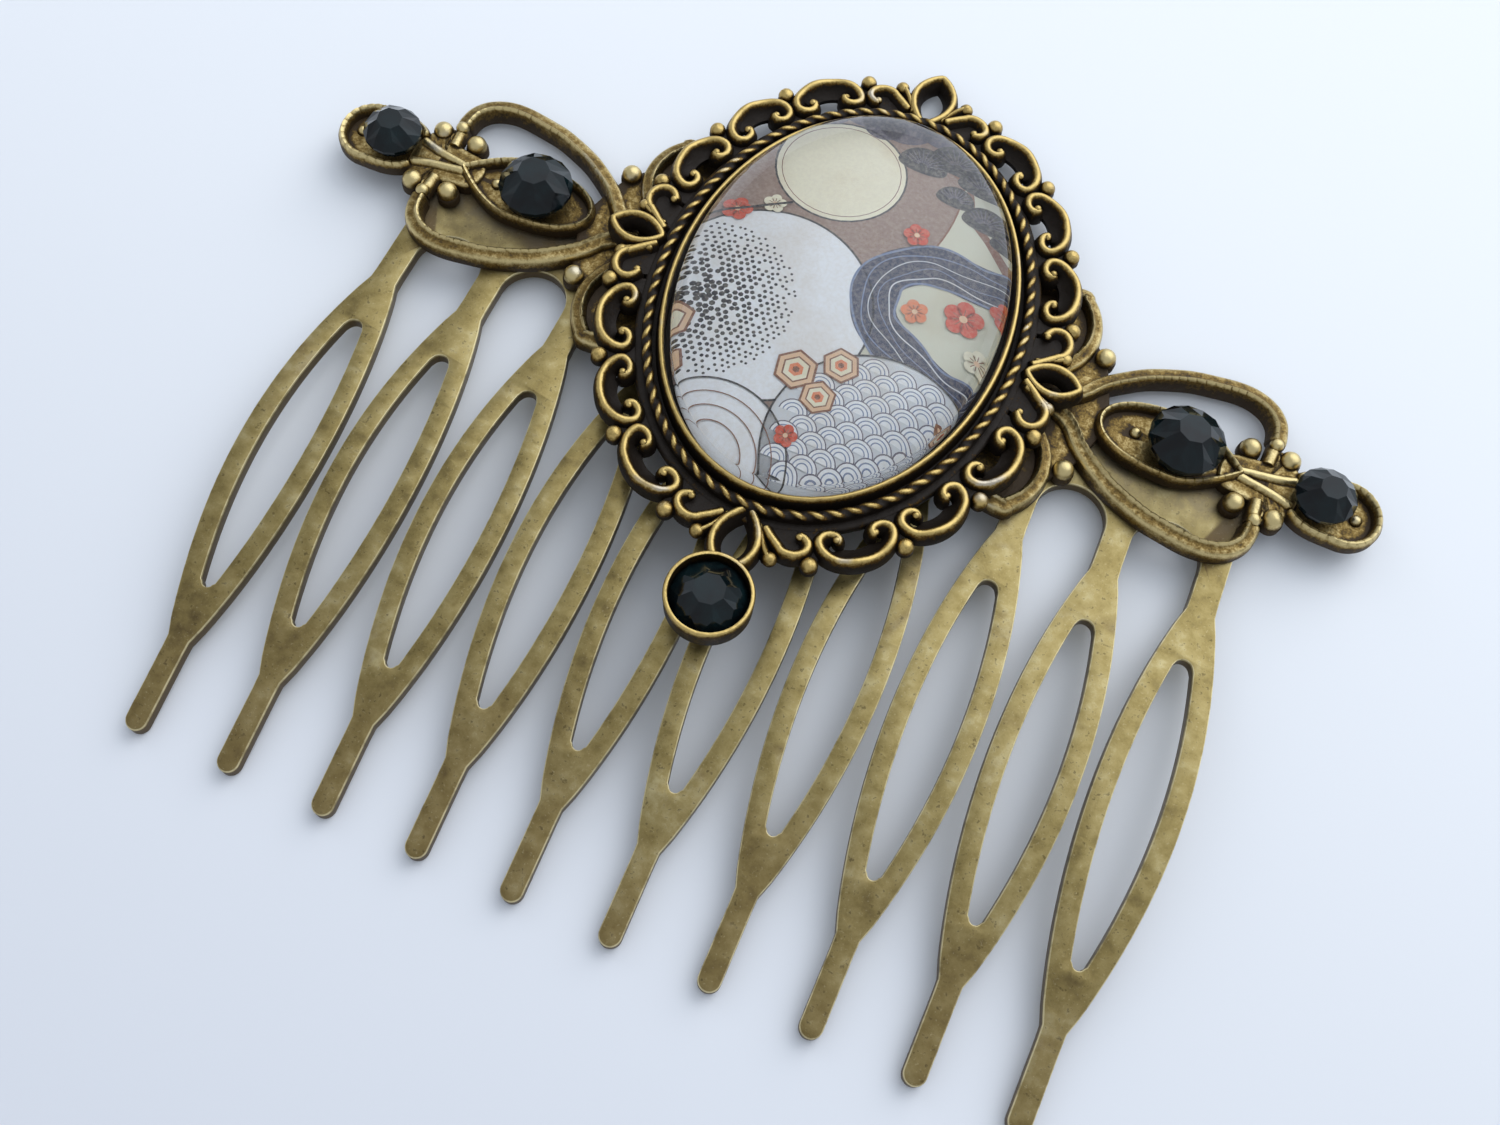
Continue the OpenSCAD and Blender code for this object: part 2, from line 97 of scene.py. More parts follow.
# Card, glass and stones
CAB = (9.0, 12.5)
CAB_T = 5.3
GIRDLE_T = 1.3
CARD_Z = 1.62
CARD_T = 0.035
GLASS_Z = 1.76
CUP_SEAT = CUP_FLOOR + 0.06
WING_SEAT = 1.28

# Rest pose: on the tooth tips and the back edge of the spine
back_r = BEND_R - COMB_T
bend_end = BEND_Y - back_r * math.sin(BEND)
tip_back = back_r * math.cos(BEND) - BEND_R - (bend_end - TIP_Y) * math.tan(BEND)
TILT = math.atan2(-COMB_T - tip_back, SPINE_TOP - TIP_Y)
LIFT = SPINE_TOP * math.sin(TILT) + COMB_T * math.cos(TILT)
REST_Y = ((TOP_Y + TIP_Y) * math.cos(TILT) + (SCROLL_TOP + tip_back) * math.sin(TILT)) / 2
REST = np.array([
    [1, 0, 0],
    [0, math.cos(TILT), math.sin(TILT)],
    [0, -math.sin(TILT), math.cos(TILT)],
])


def to_row(points):
    """Ornament millimetres to the row frame in metres."""
    return (np.asarray(points, float) @ REST.T + [0, -REST_Y, LIFT]) / 1000


# Paths

def arr(points):
    return np.array(points, float)


def arc(mid, r, start, end, steps):
    a = np.radians(np.linspace(start, end, steps + 1))
    return np.stack([mid[0] + r * np.cos(a), mid[1] + r * np.sin(a)], 1)


def polar(mid, r, a):
    """The point at distance r from the middle, in the direction of a degrees."""
    return mid[0] + r * math.cos(math.radians(a)), mid[1] + r * math.sin(math.radians(a))


def oval(rx, ry, step):
    """An oval with a point every so many degrees, counter-clockwise from the right."""
    a = np.radians(np.arange(0, 360, step))
    return np.stack([rx * np.cos(a), ry * np.sin(a)], 1)


def both(side):
    """The outline of a shape that is the same above and below X, from its upper side."""
    return np.vstack([side, arr(side)[::-1] * [1, -1]])


def run(path, closed=False):
    """Length along the path up to each point."""
    d = np.diff(np.vstack([path, path[:1]]) if closed else path, axis=0)
    return np.concatenate([[0], np.cumsum(np.hypot(d[:, 0], d[:, 1]))])


def smooth(points, step, closed=False):
    """A Catmull-Rom curve through the points, with even steps."""
    p = arr(points)
    if closed:
        q = np.vstack([p[-1:], p, p[:2]])
    else:
        q = np.vstack([2 * p[0] - p[1], p, 2 * p[-1] - p[-2]])
    out = []
    for i in range(1, len(q) - 2):
        t = np.linspace(0, 1, 24, endpoint=False)[:, None]
        a, b, c, d = q[i - 1], q[i], q[i + 1], q[i + 2]
        bend = (2 * a - 5 * b + 4 * c - d) * t ** 2 + (3 * b - a - 3 * c + d) * t ** 3
        out.append(0.5 * (2 * b + (c - a) * t + bend))
    dense = np.vstack(out + ([] if closed else [p[-1:]]))
    return even(dense, step, closed)


def even(path, step, closed=False):
    """The same path with points at even steps."""
    s = run(path, closed)
    n = max(3, int(round(s[-1] / step)))
    at = np.linspace(0, s[-1], n + 1)[:n if closed else n + 1]
    loop = np.vstack([path, path[:1]]) if closed else path
    return np.stack([np.interp(at, s, loop[:, k]) for k in (0, 1)], 1)


def normals(path, closed=False):
    """Unit normals to the left of a path."""
    if closed:
        d = np.roll(path, -1, 0) - np.roll(path, 1, 0)
    else:
        d = np.gradient(path, axis=0)
    d = d / np.linalg.norm(d, axis=1)[:, None]
    return np.stack([-d[:, 1], d[:, 0]], 1)


def area(path):
    """Positive where a closed path runs counter-clockwise."""
    x, y = path[:, 0], path[:, 1]
    return 0.5 * np.sum(x * np.roll(y, -1) - np.roll(x, -1) * y)


def oval_at(a, d):
    """Points at angle a in degrees, clockwise from the top, and d out from the glass's edge."""
    a = np.radians(a)
    n = np.stack([CAB[1] * np.sin(a), CAB[0] * np.cos(a)], -1)
    n = n / np.linalg.norm(n, axis=-1, keepdims=True)
    return np.stack([CAB[0] * np.sin(a), CAB[1] * np.cos(a)], -1) + n * np.asarray(d)[..., None]


def laid(a, points):
    """Points along and out from the straightened edge, laid from angle a of the oval."""
    points = arr(points)
    speed = math.hypot(CAB[0] * math.cos(math.radians(a)), CAB[1] * math.sin(math.radians(a)))
    return oval_at(a + np.degrees(points[:, 0] / speed), points[:, 1])


def oval_path(steps, d=0.0):
    """The glass's edge, d further out, with even steps, counter-clockwise from the top."""
    p = oval_at(np.linspace(0, -360, 1440, endpoint=False), d)
    return even(p, run(p, True)[-1] / steps, True)


def at_height(points, z):
    """Points of a plan at one height."""
    return np.column_stack([points, np.full(len(points), z)])


# Mesh parts

class Part:
    """Vertices in ornament millimetres, faces, and how far each vertex is rubbed bright."""

    def __init__(self):
        self.v, self.f, self.w = [], [], []
        self.n = 0

    def add(self, v, f, w):
        self.v.append(arr(v))
        self.f += [tuple(int(i) + self.n for i in g) for g in f]
        self.w.append(np.broadcast_to(arr(w), (len(v),)))
        self.n += len(v)

    def copy_of(self, other, x=1, y=1):
        """The other part once more, mirrored where x or y is -1."""
        v = np.vstack(other.v) * [x, y, 1]
        f = other.f if x * y > 0 else [g[::-1] for g in other.f]
        self.add(v, f, np.concatenate(other.w))

    def turned(self, a):
        c, s = math.cos(a), math.sin(a)
        m = np.array([[c, -s, 0], [s, c, 0], [0, 0, 1]])
        self.v = [v @ m.T for v in self.v]


def quads(rings, count, closed=False):
    """Faces between rings that have so many vertices each."""
    faces = []
    for i in range(rings if closed else rings - 1):
        a, b = i * count, (i + 1) % rings * count
        for k in range(count):
            j = (k + 1) % count
            faces.append((a + k, a + j, b + j, b + k))
    return faces


def caps(rings, count):
    """Faces that close the first ring and the last."""
    last = (rings - 1) * count
    return [tuple(range(count - 1, -1, -1)), tuple(range(last, last + count))]


def scaled(section, side, wear=1.0):
    """A section of (side, height, wear) rows, made wider and more or less worn."""
    return [(s * side, z, w * wear) for s, z, w in section]


def sweep(part, path, section, closed=False, round_end=0.0):
    """Sweeps a section of (side, height, wear) rows, from the left side to the right one.
    A section may be a function of the run along the path."""
    s = run(path, closed)
    total = s[-1]
    side = normals(path, closed)
    rings, wear = [], []
    for i in range(len(path)):
        sec = arr(section(s[i], total)) if callable(section) else arr(section)
        if round_end:
            e = min(s[i], total - s[i], round_end) / round_end
            k = math.sqrt(max(0.0, 1 - (1 - e) ** 2)) * 0.96 + 0.04
            low = sec[:, 1].min()
            height = low + (sec[:, 1] - low) * (0.35 + 0.65 * k)
            sec = np.stack([sec[:, 0] * k, height, sec[:, 2]], 1)
        xy = path[i] + side[i] * sec[:, :1]
        rings.append(np.column_stack([xy, sec[:, 1]]))
        wear.append(sec[:, 2])
    n, m = len(rings), len(rings[0])
    faces = quads(n, m, closed)
    if not closed:
        faces += caps(n, m)
    part.add(np.vstack(rings), faces, np.concatenate(wear))


def ball(part, x, y, z, r, wear=1.0, steps=22):
    """A bead, rubbed bright on top, with the metal's dark below."""
    rows = steps // 2
    v, w, f = [(x, y, z + r)], [wear], []
    for i in range(1, rows):
        p = math.pi * i / rows
        for k in range(steps):
            v.append((*polar((x, y), r * math.sin(p), 360 * k / steps), z + r * math.cos(p)))
            w.append(wear * max(0.0, min(1.0, 0.45 + 0.75 * math.cos(p))))
    v.append((x, y, z - r))
    w.append(0.0)
    for k in range(steps):
        j = (k + 1) % steps
        f.append((0, 1 + k, 1 + j))
        for i in range(rows - 2):
            a = 1 + i * steps
            f.append((a + k, a + steps + k, a + steps + j, a + j))
        a = 1 + (rows - 2) * steps
        f.append((a + k, len(v) - 1, a + j))
    part.add(v, f, w)


def plate(part, outline, low, high, top_wear, bevel=0.07, edge_wear=0.6):
    """A flat plate with rounded upper edges, and rings across its top for an even patina."""
    p = arr(outline)
    if area(p) < 0:
        p = p[::-1]
    # Rows of (inset, height, wear)
    rows = [(0, low, 0.0), (0, high - bevel, edge_wear * 0.5),
            (bevel * 0.3, high - bevel * 0.3, edge_wear), (bevel, high, edge_wear),
            (bevel * 3, high, top_wear)]
    inwards = normals(p, True)
    v = [at_height(p + inwards * d, z) for d, z, wear in rows]
    w = [np.full(len(p), wear) for d, z, wear in rows]
    mid = v[-1].mean(0)
    v += [mid + (v[-1] - mid) * share for share in (0.8, 0.5, 0.2)]
    w += [np.full(len(p), top_wear)] * 3
    part.add(np.vstack(v), quads(len(v), len(p)) + caps(len(v), len(p)), np.concatenate(w))


def lathe(part, x, y, rows, steps):
    """Rows of (radius, height, wear) turned about a vertical axis."""
    v, w = [], []
    for r, z, wear in rows:
        for k in range(steps):
            v.append((*polar((x, y), r, 360 * k / steps), z))
            w.append(wear)
    part.add(v, quads(len(rows), steps), w)


# Materials

def lin(r, g, b):
    """A colour given as screen values from 0 to 255."""
    c = arr([r, g, b]) / 255
    return tuple(np.where(c <= 0.04045, c / 12.92, ((c + 0.055) / 1.055) ** 2.4)) + (1.0,)


class Nodes:
    """A short way to write node trees."""

    def __init__(self, name):
        self.mat = bpy.data.materials.new(name)
        self.mat.use_nodes = True
        self.t = self.mat.node_tree
        self.t.nodes.clear()
        self.bsdf = self.node("BsdfPrincipled")
        self.put(self.node("OutputMaterial").inputs[0], self.bsdf.outputs[0])
        self.coord = self.node("TexCoord").outputs["Object"]

    def node(self, kind):
        return self.t.nodes.new("ShaderNode" + kind)

    def put(self, socket, value):
        if isinstance(value, bpy.types.NodeSocket):
            self.t.links.new(value, socket)
        elif value is not None:
            socket.default_value = value

    def feed(self, node, **values):
        """Sets or links a node's inputs, named with _ for each space."""
        for name, value in values.items():
            self.put(node.inputs[name.replace("_", " ")], value)

    def set(self, **values):
        self.feed(self.bsdf, **values)

    def attr(self, name, out="Fac"):
        n = self.node("Attribute")
        n.attribute_name = name
        return n.outputs[out]

    def along(self, axis):
        """The object's own coordinate, in metres."""
        n = self.node("SeparateXYZ")
        self.feed(n, Vector=self.coord)
        return n.outputs[axis]

    def noise(self, scale, detail, rough, distort=0.0):
        n = self.node("TexNoise")
        self.feed(n, Vector=self.coord, Scale=scale, Detail=detail, Roughness=rough, Distortion=distort)
        return n.outputs["Fac"]

    def math(self, op, a, b=0.0, clamp=False):
        n = self.node("Math")
        n.operation = op
        n.use_clamp = clamp
        self.put(n.inputs[0], a)
        self.put(n.inputs[1], b)
        return n.outputs[0]

    def sway(self, noise, share):
        """A noise about one half as a share either way of nothing."""
        return self.math("MULTIPLY", self.math("SUBTRACT", noise, 0.5), share)

    def span(self, value, a, b, c=0.0, d=1.0):
        """Maps a..b to c..d, smoothly and clamped."""
        n = self.node("MapRange")
        n.interpolation_type = "SMOOTHSTEP"
        self.feed(n, Value=value, From_Min=a, From_Max=b, To_Min=c, To_Max=d)
        return n.outputs["Result"]

    def ramp(self, value, stops):
        n = self.node("ValToRGB")
        self.put(n.inputs[0], value)
        e = n.color_ramp.elements
        for i, (p, c) in enumerate(stops):
            s = e[i] if i < 2 else e.new(p)
            s.position, s.color = p, c
        return n.outputs[0]

    def mix(self, fac, a, b, blend="MIX"):
        n = self.node("Mix")
        n.data_type = "RGBA"
        n.blend_type = blend
        self.put(n.inputs[0], fac)
        self.put(n.inputs[6], a)
        self.put(n.inputs[7], b)
        return n.outputs[2]

    def bump(self, height, distance, strength, normal=None):
        n = self.node("Bump")
        self.feed(n, Height=height, Distance=distance, Strength=strength, Normal=normal)
        return n.outputs[0]


def cast_metal(name, dark, mid, bright, wear_gain, silver):
    """Antique plating: dark where it is sheltered, as patina in its own hollows and as painted shade where
    other parts shelter it; rubbed bright on the ridges, in patches to silver.
    """
    m = Nodes(name)
    blotch = m.noise(420, 4, 0.6)
    grain = m.noise(2600, 4, 0.65)
    fine = m.noise(9000, 2, 0.5)
    worn = m.math("MULTIPLY", m.attr("wear"), wear_gain)
    # Dark where little sky is open: patina in hollows, and painted shade under and between parts
    level = m.math("MULTIPLY", m.span(m.attr("open"), 0.15, 0.85), worn)
    level = m.math("ADD", level, m.sway(blotch, 0.7))
    level = m.math("ADD", level, m.sway(grain, 0.9))
    level = m.math("ADD", level, m.sway(fine, 0.5), clamp=True)
    colour = m.ramp(level, [(0.0, dark), (0.22, dark), (0.5, mid), (1.0, bright)])
    patches = m.span(m.noise(300, 2, 0.5), 0.6, 0.72, 0.0, silver)
    rubbed = m.math("MULTIPLY", m.span(level, 0.7, 1.0), patches)
    m.set(Base_Color=m.mix(rubbed, colour, lin(186, 186, 188)))
    m.set(Metallic=m.span(level, 0.1, 0.5, 0.45, 1.0))
    dull = m.span(level, 0.15, 0.9, 0.52, 0.27)
    m.set(Roughness=m.math("ADD", dull, m.math("MULTIPLY", grain, 0.12)))
    m.set(Normal=m.bump(fine, 0.00001, 0.4, m.bump(grain, 0.00006, 0.7)))
    return m.mat


def comb_metal():
    """Stamped brass, mottled olive and brown, with bright edges; painted shade makes it darker to the tips
    and under the ornaments, and dirt lies in cloudy patches.
    """
    m = Nodes("comb_brass")
    wear = m.attr("wear")
    y = m.along("Y")
    cloud = m.noise(160, 4, 0.6, distort=0.4)
    mottle = m.noise(900, 5, 0.65)
    speck = m.noise(3600, 3, 0.6)
    streak = m.noise(90, 3, 0.5)
    tone = m.math("ADD", m.math("MULTIPLY", mottle, 0.65), m.math("MULTIPLY", cloud, 0.35))
    base = m.ramp(tone, [(0.30, lin(100, 86, 56)), (0.45, lin(143, 126, 79)),
                         (0.55, lin(161, 144, 96)), (0.68, lin(190, 176, 132))])
    # Painted shade: darker towards the tips
    painted_tip_shade = m.span(m.math("ADD", y, m.sway(streak, 0.02)), -0.013, -0.028, 0.0, 0.45)
    # Dirt in cloudy patches, joined with the painted shade
    dirt_and_painted_shade = m.math("MAXIMUM", painted_tip_shade, m.span(cloud, 0.60, 0.76, 0.0, 0.7))
    # Painted shade under the ornaments, where the sheet sees little sky close by
    dirt_and_painted_shade = m.math("MAXIMUM", dirt_and_painted_shade, m.span(m.attr("open"), 0.55, 0.12, 0.0, 0.85))
    colour = m.mix(m.math("MULTIPLY", dirt_and_painted_shade, 0.85), base, lin(84, 60, 32))
    colour = m.mix(m.span(speck, 0.58, 0.72, 0.0, 0.6), colour, lin(58, 44, 26))
    glint = m.span(m.noise(7000, 2, 0.5), 0.62, 0.74, 0.0, 0.25)
    colour = m.mix(glint, colour, lin(196, 184, 146))
    edge = m.math("MULTIPLY", m.span(wear, 0.5, 1.0), m.span(mottle, 0.34, 0.56, 0.25, 1.0))
    colour = m.mix(m.math("MULTIPLY", edge, 0.85), colour, lin(226, 212, 168))
    spine = m.math("MULTIPLY", m.span(y, 0.004, 0.009), m.span(mottle, 0.40, 0.62, 0.9, 0.3))
    colour = m.mix(spine, colour, lin(120, 110, 92))
    side = m.math("MULTIPLY", m.span(wear, 0.25, 0.05), 0.8)
    m.set(Base_Color=m.mix(side, colour, lin(70, 50, 28)))
    m.set(Metallic=m.math("SUBTRACT", 0.95, m.math("MULTIPLY", dirt_and_painted_shade, 0.45)))
    m.set(Roughness=m.math("ADD", 0.30, m.math("MULTIPLY", m.math("ADD", mottle, dirt_and_painted_shade), 0.22)))
    m.set(Normal=m.bump(m.math("ADD", speck, m.math("MULTIPLY", mottle, 0.6)), 0.000008, 0.5))
    return m.mat


def card_paper():
    """Print that the paper's tooth breaks up, yellowed in patches."""
    m = Nodes("printed_card")
    tooth = m.noise(5200, 3, 0.6)
    age = m.noise(260, 4, 0.6)
    colour = m.mix(m.span(tooth, 0.35, 0.7, 0.0, 0.22), m.attr("ink", "Color"), lin(206, 196, 178))
    yellowed = m.mix(1.0, colour, lin(226, 208, 184), "MULTIPLY")
    m.set(Base_Color=m.mix(m.span(age, 0.42, 0.7, 0.0, 0.30), colour, yellowed), Roughness=0.62)
    m.set(Normal=m.bump(tooth, 0.000006, 0.3))
    return m.mat


def dome_glass():
    m = Nodes("dome_glass")
    m.set(Base_Color=(0.97, 0.985, 1.0, 1.0), IOR=1.5, Transmission_Weight=1.0)
    m.set(Roughness=m.span(m.noise(900, 3, 0.6), 0.5, 0.75, 0.0, 0.03))
    m.set(Normal=m.bump(m.noise(140, 2, 0.5), 0.00002, 0.25))
    return m.mat


def jet_stone():
    m = Nodes("jet")
    cloud = m.noise(700, 3, 0.6)
    m.set(Base_Color=m.ramp(cloud, [(0.35, lin(5, 7, 10)), (0.7, lin(12, 27, 30))]))
    m.set(Roughness=m.span(m.noise(2400, 3, 0.6), 0.45, 0.75, 0.02, 0.10))
    m.set(IOR=1.62, Specular_IOR_Level=0.22)
    return m.mat


def floor_cloth():
    """A pale ground with painted light: lighter away from the camera, towards the side the key light comes
    from.
    """
    m = Nodes("floor")
    drift = m.math("MULTIPLY", m.noise(9, 2, 0.5), 0.004)
    # Painted light falloff: the floor's colour runs lighter towards the key light
    light_falloff = m.math("ADD", m.math("MULTIPLY", m.along("Y"), 0.9), m.math("MULTIPLY", m.along("X"), 0.1))
    shade = m.span(m.math("ADD", light_falloff, drift), -0.075, 0.05)
    m.set(Base_Color=m.ramp(shade, [(0.0, lin(197, 200, 208)), (1.0, lin(226, 229, 233))]))
    m.set(Roughness=0.75)
    return m.mat


MATS = {
    "comb_brass": comb_metal(),
    "wing_brass": cast_metal("wing_brass", dark=lin(56, 42, 23), mid=lin(128, 105, 60),
                             bright=lin(212, 192, 138), wear_gain=1.25, silver=0.5),
    "cast_brass": cast_metal("cast_brass", dark=lin(28, 19, 10), mid=lin(102, 77, 37),
                             bright=lin(204, 176, 110), wear_gain=1.0, silver=0.6),
    "printed_card": card_paper(),
    "dome_glass": dome_glass(),
    "jet": jet_stone(),
}


def placed(name, data):
    """A new object in the scene."""
    obj = bpy.data.objects.new(name, data)
    bpy.context.scene.collection.objects.link(obj)
    return obj


def make(part, name, slot, nodes, flat_angle, rotate=False):
    """Turns a part into a Blender object that stands for CAD nodes."""
    if rotate:
        part.turned(TURN)
    v = to_row(np.vstack(part.v))
    mesh = bpy.data.meshes.new(name)
    mesh.from_pydata(v.tolist(), [], part.f)
    mesh.validate()
    mesh.update()
    a = mesh.attributes.new("wear", "FLOAT", "POINT")
    a.data.foreach_set("value", np.concatenate(part.w).astype(np.float32))
    obj = placed(name, mesh)
    mesh.shade_smooth()
    mesh.set_sharp_from_angle(angle=math.radians(flat_angle))
    mesh.materials.append(MATS[slot])
    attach(obj, "root")
    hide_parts(*nodes)
    return obj


# Comb

def lens_reach(width, w):
    """How far above and below its middle a lens of that width is still w wide."""
    return math.sqrt(LOOP_R ** 2 - (LOOP_R - (width - w) / 2) ** 2)


def lens_side(width, top, end, steps):
    """The right side of a tooth's lens, downwards."""
    y = np.linspace(top, end, steps)
    return np.stack([width / 2 - LOOP_R + np.sqrt(LOOP_R ** 2 - (y - LOOP_Y) ** 2), y], 1)


def flip(points):
    return points[::-1] * [-1, 1]


def tooth_outline():
    """From the arch on the right round the tip to the arch on the left."""
    top = LOOP_Y + lens_reach(LOOP_W, NECK_W)
    end = LOOP_Y - lens_reach(LOOP_W, FINGER_W)
    side = lens_side(LOOP_W, top, end, 44)
    # The lens runs softly into the neck and the finger
    side = np.vstack([side[0] + [0, 0.5], side[0] + [0.03, -0.2], side[2:-2],
                      side[-1] + [0.02, 0.2], side[-1] + [0, -0.5]])
    tip = arc((0, TIP_Y + FINGER_W / 2), FINGER_W / 2, 0, -180, 18)
    return np.vstack([side, tip, flip(side)])


def slot_outline():
    top = SLOT_TOP - SLOT_TOP_R
    bottom = SLOT_BOTTOM + SLOT_BOTTOM_R
    side = lens_side(SLOT_W, min(top, LOOP_Y + lens_reach(SLOT_W, 2 * SLOT_TOP_R)),
                     max(bottom, LOOP_Y - lens_reach(SLOT_W, 2 * SLOT_BOTTOM_R)), 34)
    return np.vstack([side, arc((0, bottom), SLOT_BOTTOM_R, -20, -160, 8), flip(side),
                      arc((0, top), SLOT_TOP_R, 160, 20, 12)])


def leaning(outline, x, push):
    """A tooth's outline at its place, pushed a little to one side towards the tip."""
    moved = outline + [x, 0]
    moved[:, 0] += push * np.clip((BEND_Y - moved[:, 1]) / 24, 0, 1)
    return moved


def comb_outlines():
    """The sheet's outline from the spine's right end to its left one, and a slot for each tooth."""
    corner = (TOOTH_COUNT - 1) / 2 * PITCH + NECK_W / 2 - CORNER_R
    arch_r = (PITCH - NECK_W) / 2
    arch = arc((-PITCH / 2, ARCH_TOP - arch_r), arch_r, 0, 180, 28)
    outline = [arc((corner, SPINE_TOP - CORNER_R), CORNER_R, 90, 0, 8)]
    slots = []
    for i in range(TOOTH_COUNT - 1, -1, -1):
        x = (i - (TOOTH_COUNT - 1) / 2) * PITCH
        push = rng.normal(0, 0.05)
        outline.append(leaning(tooth_outline(), x, push))
        if i:
            outline.append(arch + [x, 0])
        slots.append(leaning(slot_outline(), x, push))
    outline.append(arc((-corner, SPINE_TOP - CORNER_R), CORNER_R, 180, 90, 8))
    return [np.vstack(outline)] + slots


def comb_wall(bm, tag, outline):
    """The sheet's wall with rounded edges along one outline; gives its upper and lower vertices."""
    b = EDGE_R
    # Rows of (inset, height, wear)
    rows = [(b, 0.0, 0.45), (b * 0.3, -b * 0.25, 1.0), (0, -b, 0.8), (0, -b - 0.06, 0.1),
            (0, -COMB_T + b, 0.05), (b * 0.3, -COMB_T + b * 0.25, 0.6), (b, -COMB_T, 0.4)]
    inwards = normals(outline, True)
    rings = []
    for d, z, wear in rows:
        ring = [bm.verts.new((x + COMB_X, y, z)) for x, y in outline + inwards * d]
        for v in ring:
            v[tag] = wear
        rings.append(ring)
    n = len(outline)
    for upper, lower in zip(rings, rings[1:]):
        for i in range(n):
            j = (i + 1) % n
            bm.faces.new((upper[i], lower[i], lower[j], upper[j]))
    return rings[0], rings[-1]


def fill(bm, rings, up):
    """Triangles between the outline and the slots, all facing up or all down."""
    flat = [v for ring in rings for v in ring]
    for tri in tessellate_polygon([[v.co for v in ring] for ring in rings]):
        corners = [flat[i] for i in tri]
        n = (corners[1].co - corners[0].co).cross(corners[2].co - corners[0].co).z
        if (n > 0) != up:
            corners.reverse()
        bm.faces.new(corners)


def bent(y, z):
    """Height of a point of the flat sheet once the teeth are bent back."""
    def face(r, flat):
        end = BEND_Y - r * math.sin(BEND)
        curve = -BEND_R + np.sqrt(np.maximum(r * r - (y - BEND_Y) ** 2, 1e-6))
        line = r * math.cos(BEND) - BEND_R - (end - y) * math.tan(BEND)
        return np.where(y > BEND_Y, flat, np.where(y > end, curve, line))
    t = -z / COMB_T
    return face(BEND_R, 0.0) * (1 - t) + face(BEND_R - COMB_T, -COMB_T) * t


def comb_piece():
    bm = bmesh.new()
    tag = bm.verts.layers.float.new("wear")
    tops, bottoms = [], []
    for k, outline in enumerate(comb_outlines()):
        # The metal is on the left of every outline
        if (area(outline) > 0) == (k > 0):
            outline = outline[::-1]
        top, bottom = comb_wall(bm, tag, outline)
        tops.append(top)
        bottoms.append(bottom)
    fill(bm, tops, True)
    fill(bm, bottoms, False)
    for y in np.arange(BEND_Y + 0.5, TIP_Y, -CUT_STEP):
        bmesh.ops.bisect_plane(bm, geom=bm.verts[:] + bm.edges[:] + bm.faces[:], dist=1e-5,
                               plane_co=(0, y, 0), plane_no=(0, 1, 0))
    bmesh.ops.recalc_face_normals(bm, faces=bm.faces[:])
    co = arr([v.co[:] for v in bm.verts])
    co[:, 2] = bent(co[:, 1], co[:, 2])
    w = [v[tag] for v in bm.verts]
    bm.verts.index_update()
    part = Part()
    part.add(co, [[v.index for v in f.verts] for f in bm.faces], w)
    bm.free()
    return make(part, "comb_detail", "comb_brass", ["comb"], 42)


# Filigree: sections of its wires, and the rows that are their crest

BAND = [(0.56, SHEET_Z, 0.1), (0.57, 0.36, 0.2), (0.53, 0.66, 0.45), (0.44, 0.90, 0.85), (0.31, 0.98, 0.5),
        (0.12, 0.99, 0.35), (-0.04, 1.02, 0.4), (-0.12, 1.12, 0.75), (-0.20, RIM_TOP + 0.01, 1.25),
        (-0.29, 1.18, 1.15), (-0.37, 1.0, 0.4), (-0.46, 0.7, 0.2), (-0.53, 0.35, 0.1), (-0.54, SHEET_Z, 0.0)]
BAND_CREST = [8, 9]
CORD = [(0.26, 0.3, 0.0), (0.25, 0.8, 0.2), (0.17, 1.02, 0.6), (0.06, RIM_TOP, 1.1),
        (-0.05, RIM_TOP - 0.03, 1.0), (-0.14, 1.0, 0.5), (-0.22, 0.75, 0.15), (-0.26, 0.3, 0.0)]
CORD_CREST = [3, 4]
RIDGE = [(0.36, 0.4, 0.2), (0.28, 0.85, 0.5), (0.1, 1.04, 0.9), (-0.1, 1.04, 0.9),
         (-0.28, 0.85, 0.5), (-0.36, 0.4, 0.2)]


def milled(section, pitch, depth, crest, wobble=0.0):
    """The section with a row of slightly uneven grains along its crest."""
    section = arr(section)

    def at(s, total):
        out = section.copy()
        g = abs(math.sin(math.pi * (s / pitch + 0.15 * math.sin(s * 1.7)))) ** 0.6
        out[crest, 1] -= depth * (1 - g)
        out[crest, 2] *= 0.25 + 0.85 * g
        out[:, 0] += wobble * math.sin(s * 2.3)
        return out
    return at


def marquise():
    """The plate under a wing stone: blunt on its inner side, drawn out to a point on the outer one."""
    start, end, widest, half = 15.75, 23.9, 20.3, 1.95
    x = start + (end - start) * (1 - np.cos(np.linspace(0, math.pi, 60))) / 2
    inner = np.sqrt(np.maximum(0, 1 - np.clip((widest - x) / (widest - start), 0, 1) ** 2.6))
    outer = 1 - np.clip((x - widest) / (end - widest), 0, 1) ** 1.7
    up = np.where(x < widest, inner, outer) * half
    return np.vstack([np.stack([x, up], 1), np.stack([x, -up], 1)[-2:0:-1]])


